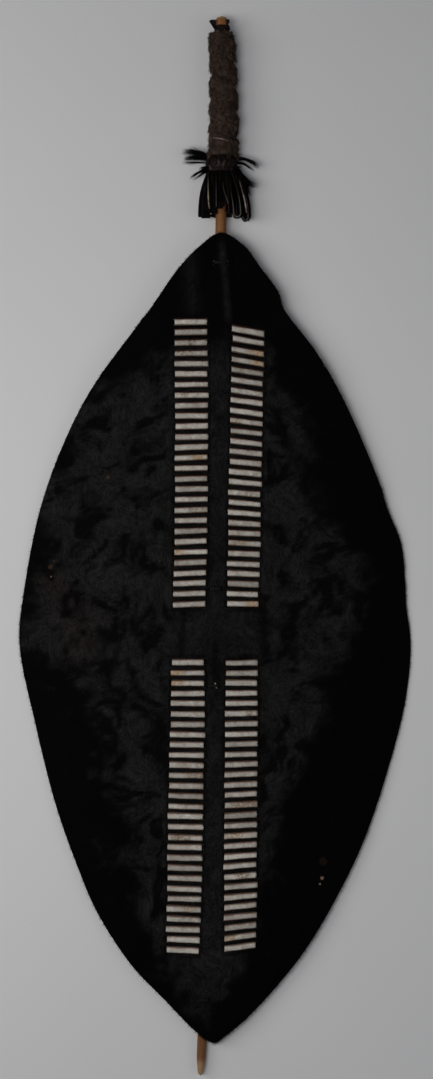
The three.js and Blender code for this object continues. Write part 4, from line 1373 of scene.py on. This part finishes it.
def lock_strands(angle, y, line, count, spread):
    """Hairs of one lock, from a point on the band along a line, fraying towards their ends."""
    angle = math.radians(angle)
    out = np.array([math.cos(angle), 0, math.sin(angle) * FRINGE_FLATTEN])
    root = np.array([stick_x(y), y, stick_z(y)]) + out * (BAND_RADIUS - 2)
    sweep = 1 if out[0] >= 0 else -1
    centre = curved([root + np.array([sweep * a, b, 0]) for a, b in line], steps=5)
    steps = np.linspace(0, 1, 7)
    gather = np.array([0.9, 0.95, 1.0, 1.0, 1.0, 0.95, 0.85])
    offsets = chance.normal(0, 1, (count, 1, 3)) * np.array([0.4, 1.0, 0.8]) * spread * 0.5
    fray = chance.normal(0, 1, (count, 1, 3)) * (0.6, 1.0, 0.6) * (1.2 + 0.3 * spread)
    reach = chance.uniform(0.55, 1.08, count)
    paths = np.empty((count, 7, 3))
    for i in range(7):
        at, _ = along_path(centre, steps[i] * reach)
        paths[:, i] = at + offsets[:, 0] * gather[i] + fray[:, 0] * steps[i] ** 2.2
    paths += np.cumsum(chance.normal(0, 0.12, (count, 7, 3)), axis=1)
    return above_floor(paths)


def make_band():
    """The strips' gathered heads, side by side like knots, and the thong that is wound round them below."""

    def place(around, along):
        y, turn = lerp(579, 603, along), around * math.tau
        radius = 20.2 + 0.6 * np.sin(turn * 9)
        across = np.stack([radius * np.cos(turn), y, radius * np.sin(turn) * 0.86], axis=1)
        return above_floor(across + np.stack([stick_x(y), 0 * y, stick_z(y)], axis=1), 1.0)

    parts = [tube_mesh(40, 6, place)]
    for number in range(19):
        angle = math.tau * (number + 0.3 * stray(number + 5)) / 19
        lean = 0.16 + 0.06 * stray(number)
        shares = np.linspace(0, 1, 7)
        y = lerp(599.5 + 1.2 * stray(number + 2), 583, shares)
        radius = 18.8 + 3.6 * np.sin(math.pi * shares**0.8)
        turn = angle + lean * (shares - 0.5)
        line = np.stack([stick_x(y) + radius * np.cos(turn), y, stick_z(y) + radius * np.sin(turn) * 0.86], axis=1)
        away = np.array([math.cos(angle), 0.0, math.sin(angle)])
        parts.append(thong(above_floor(line, 2.4), 6.9 + 0.7 * stray(number + 3), 3.8, away))
    finish_mesh(join(*parts), "fringe_knots", [RED_THONG])
    turns = np.linspace(0, 4 * math.pi, 90)
    y = np.linspace(589, 578.5, 90) + 0.5 * np.sin(turns * 2.3)
    radius = 21.6 + 0.5 * np.sin(turns * 1.7)
    helix = np.stack([stick_x(y) + radius * np.cos(turns), y, stick_z(y) + radius * np.sin(turns) * 0.84], axis=1)
    outward = lambda along, middle: unit((middle - np.array([stick_x(584), 584, stick_z(584)])) * (1, 0, 1))
    finish_mesh(thong(above_floor(helix, 1.4), 6.8, 1.8, outward), "fringe_wrap", [RED_THONG])


def make_ruff():
    strands = [lock_strands(*lock) for lock in RUFF_LOCKS]
    for angle in chance.uniform(0, 360, 70):
        sideways = math.cos(math.radians(angle))
        reach = chance.uniform(4, 9) + 7 * abs(sideways)
        fall = chance.uniform(-12, 0)
        y = chance.uniform(582, 590)
        strands.append(lock_strands(angle, y, [(0, 0), (reach * 0.5, fall * 0.4), (reach, fall)], 12, 1.4))
    # Hair that is left on the lower rim of the last turn of fur, black and short.
    for angle in np.linspace(0, 360, 60, endpoint=False):
        sideways = math.cos(math.radians(angle))
        line = [(0, 0), (2 + 2 * abs(sideways), -4), (2 + 3 * abs(sideways), -9)]
        strands.append(lock_strands(angle + 3 * stray(angle), 606.5, line, 14, 2.0))
    paths = np.concatenate(strands)
    taper = np.array([0.26, 0.26, 0.24, 0.21, 0.17, 0.11, 0.04])
    shades = np.clip(chance.normal(0.45, 0.2, len(paths)), 0, 1)
    finish_piece(hair_mesh("fringe_ruff", paths, taper, shades), "fringe_ruff", [BLACK_LOCKS])


make_band()
make_ruff()


# ---- The tie at the very head --------------------------------------------------------------------------------


# Two flat flaps of the head tie that stand away from the stick: corners of each, in the order of its outline.
HEAD_EARS = [
    [(1.8, 797.5), (-1.6, 799.4), (-5.2, 805.8), (-8.4, 813.2), (-1, 812.6), (1.6, 812), (1.6, 803)],
    [(19.0, 797), (18.2, 804.6), (17.5, 812.4), (22.2, 812.9), (22.7, 808.5), (20.8, 806.3), (22.8, 803), (23.4, 796.5)],
]


def make_head_tie():
    low, high = 795.5, 805.0
    turns = np.linspace(0, 3 * 2 * math.pi, 130)
    y = np.linspace(low, high, 130)
    radius = stick_radius(y) + 1.5
    helix = np.stack([stick_x(y) + radius * np.cos(turns), y, stick_z(y) + radius * np.sin(turns)], axis=1)
    outward = lambda along, middle: unit((middle - np.array([stick_x(800), 800, stick_z(800)])) * (1, 0, 1))
    finish_mesh(thong(helix, 3.4, 2.0, outward), "head_thong", [RED_THONG], ["head_tie"])
    parts = []
    for corners in HEAD_EARS:
        edge = curved([(x, y, 0) for x, y in corners], 4, closed=True)
        bm = bmesh.new()
        face = bm.faces.new([bm.verts.new(place) for place in edge])
        raised = bmesh.ops.extrude_face_region(bm, geom=[face])["geom"]
        bmesh.ops.translate(bm, vec=(0, 0, 1.6), verts=[e for e in raised if isinstance(e, bmesh.types.BMVert)])
        bmesh.ops.triangulate(bm, faces=[f for f in bm.faces if len(f.verts) > 4])
        bmesh.ops.subdivide_edges(bm, edges=bm.edges[:], cuts=1, use_grid_fill=True)
        bmesh.ops.recalc_face_normals(bm, faces=bm.faces)
        for vert in bm.verts:
            away = abs(vert.co.x - stick_x(800)) - stick_radius(800)
            vert.co.z += stick_z(800) + 6.5 - 0.05 * away**2 + 0.7 * math.sin(vert.co.y / 2.3 + vert.co.x / 3)
        parts.append(bm)
    finish_mesh(join(*parts), "head_thong_ends", [BLACK_THONG], sharp=45)


make_head_tie()


# ---- Floor, light and camera ---------------------------------------------------------------------------------


def make_floor():
    bm = bmesh.new()
    bmesh.ops.create_grid(bm, x_segments=1, y_segments=1, size=12)
    mesh = mesh_of(bm, "floor")
    mesh.materials.append(floor_finish())
    floor = bpy.data.objects.new("floor", mesh)
    bpy.context.scene.collection.objects.link(floor)


def area_light(name, place, size, power, tint=(1, 1, 1), aim=(0, 0, 0)):
    light = bpy.data.lights.new(name, "AREA")
    light.shape = "RECTANGLE"
    light.size, light.size_y = size
    light.energy = power
    light.color = tint
    lamp = bpy.data.objects.new(name, light)
    lamp.location = place
    lamp.rotation_euler = (Vector(aim) - Vector(place)).to_track_quat("-Z", "Y").to_euler()
    lamp.visible_camera = False
    bpy.context.scene.collection.objects.link(lamp)


CAMERA_HEIGHT = 2.4
CAMERA_PLACE = (0.0026, 0.0116)
CAMERA_LENS = 51.35


def make_stage():
    make_floor()
    area_light("overhead", (-0.66, -0.1, 2.05), (0.9, 1.0), 19, (1.0, 0.99, 0.975), (-0.1, -0.08, 0))
    area_light("left_window", (-1.9, 0.25, 1.45), (1.2, 1.4), 17, (1.0, 0.985, 0.96))
    area_light("fill", (2.2, -0.4, 2.2), (1.6, 1.8), 7, (0.96, 0.98, 1.0))
    world = bpy.data.worlds.new("studio")
    world.use_nodes = True
    world.node_tree.nodes["Background"].inputs["Color"].default_value = (0.9, 0.93, 1.0, 1)
    world.node_tree.nodes["Background"].inputs["Strength"].default_value = 0.14
    bpy.context.scene.world = world

    camera = bpy.data.cameras.new("camera")
    camera.lens = CAMERA_LENS
    camera.sensor_width = 36
    camera.clip_end = 50
    eye = bpy.data.objects.new("camera", camera)
    eye.location = (*CAMERA_PLACE, CAMERA_HEIGHT)
    bpy.context.scene.collection.objects.link(eye)
    bpy.context.scene.camera = eye
    bpy.context.scene.view_settings.view_transform = "Standard"


make_stage()
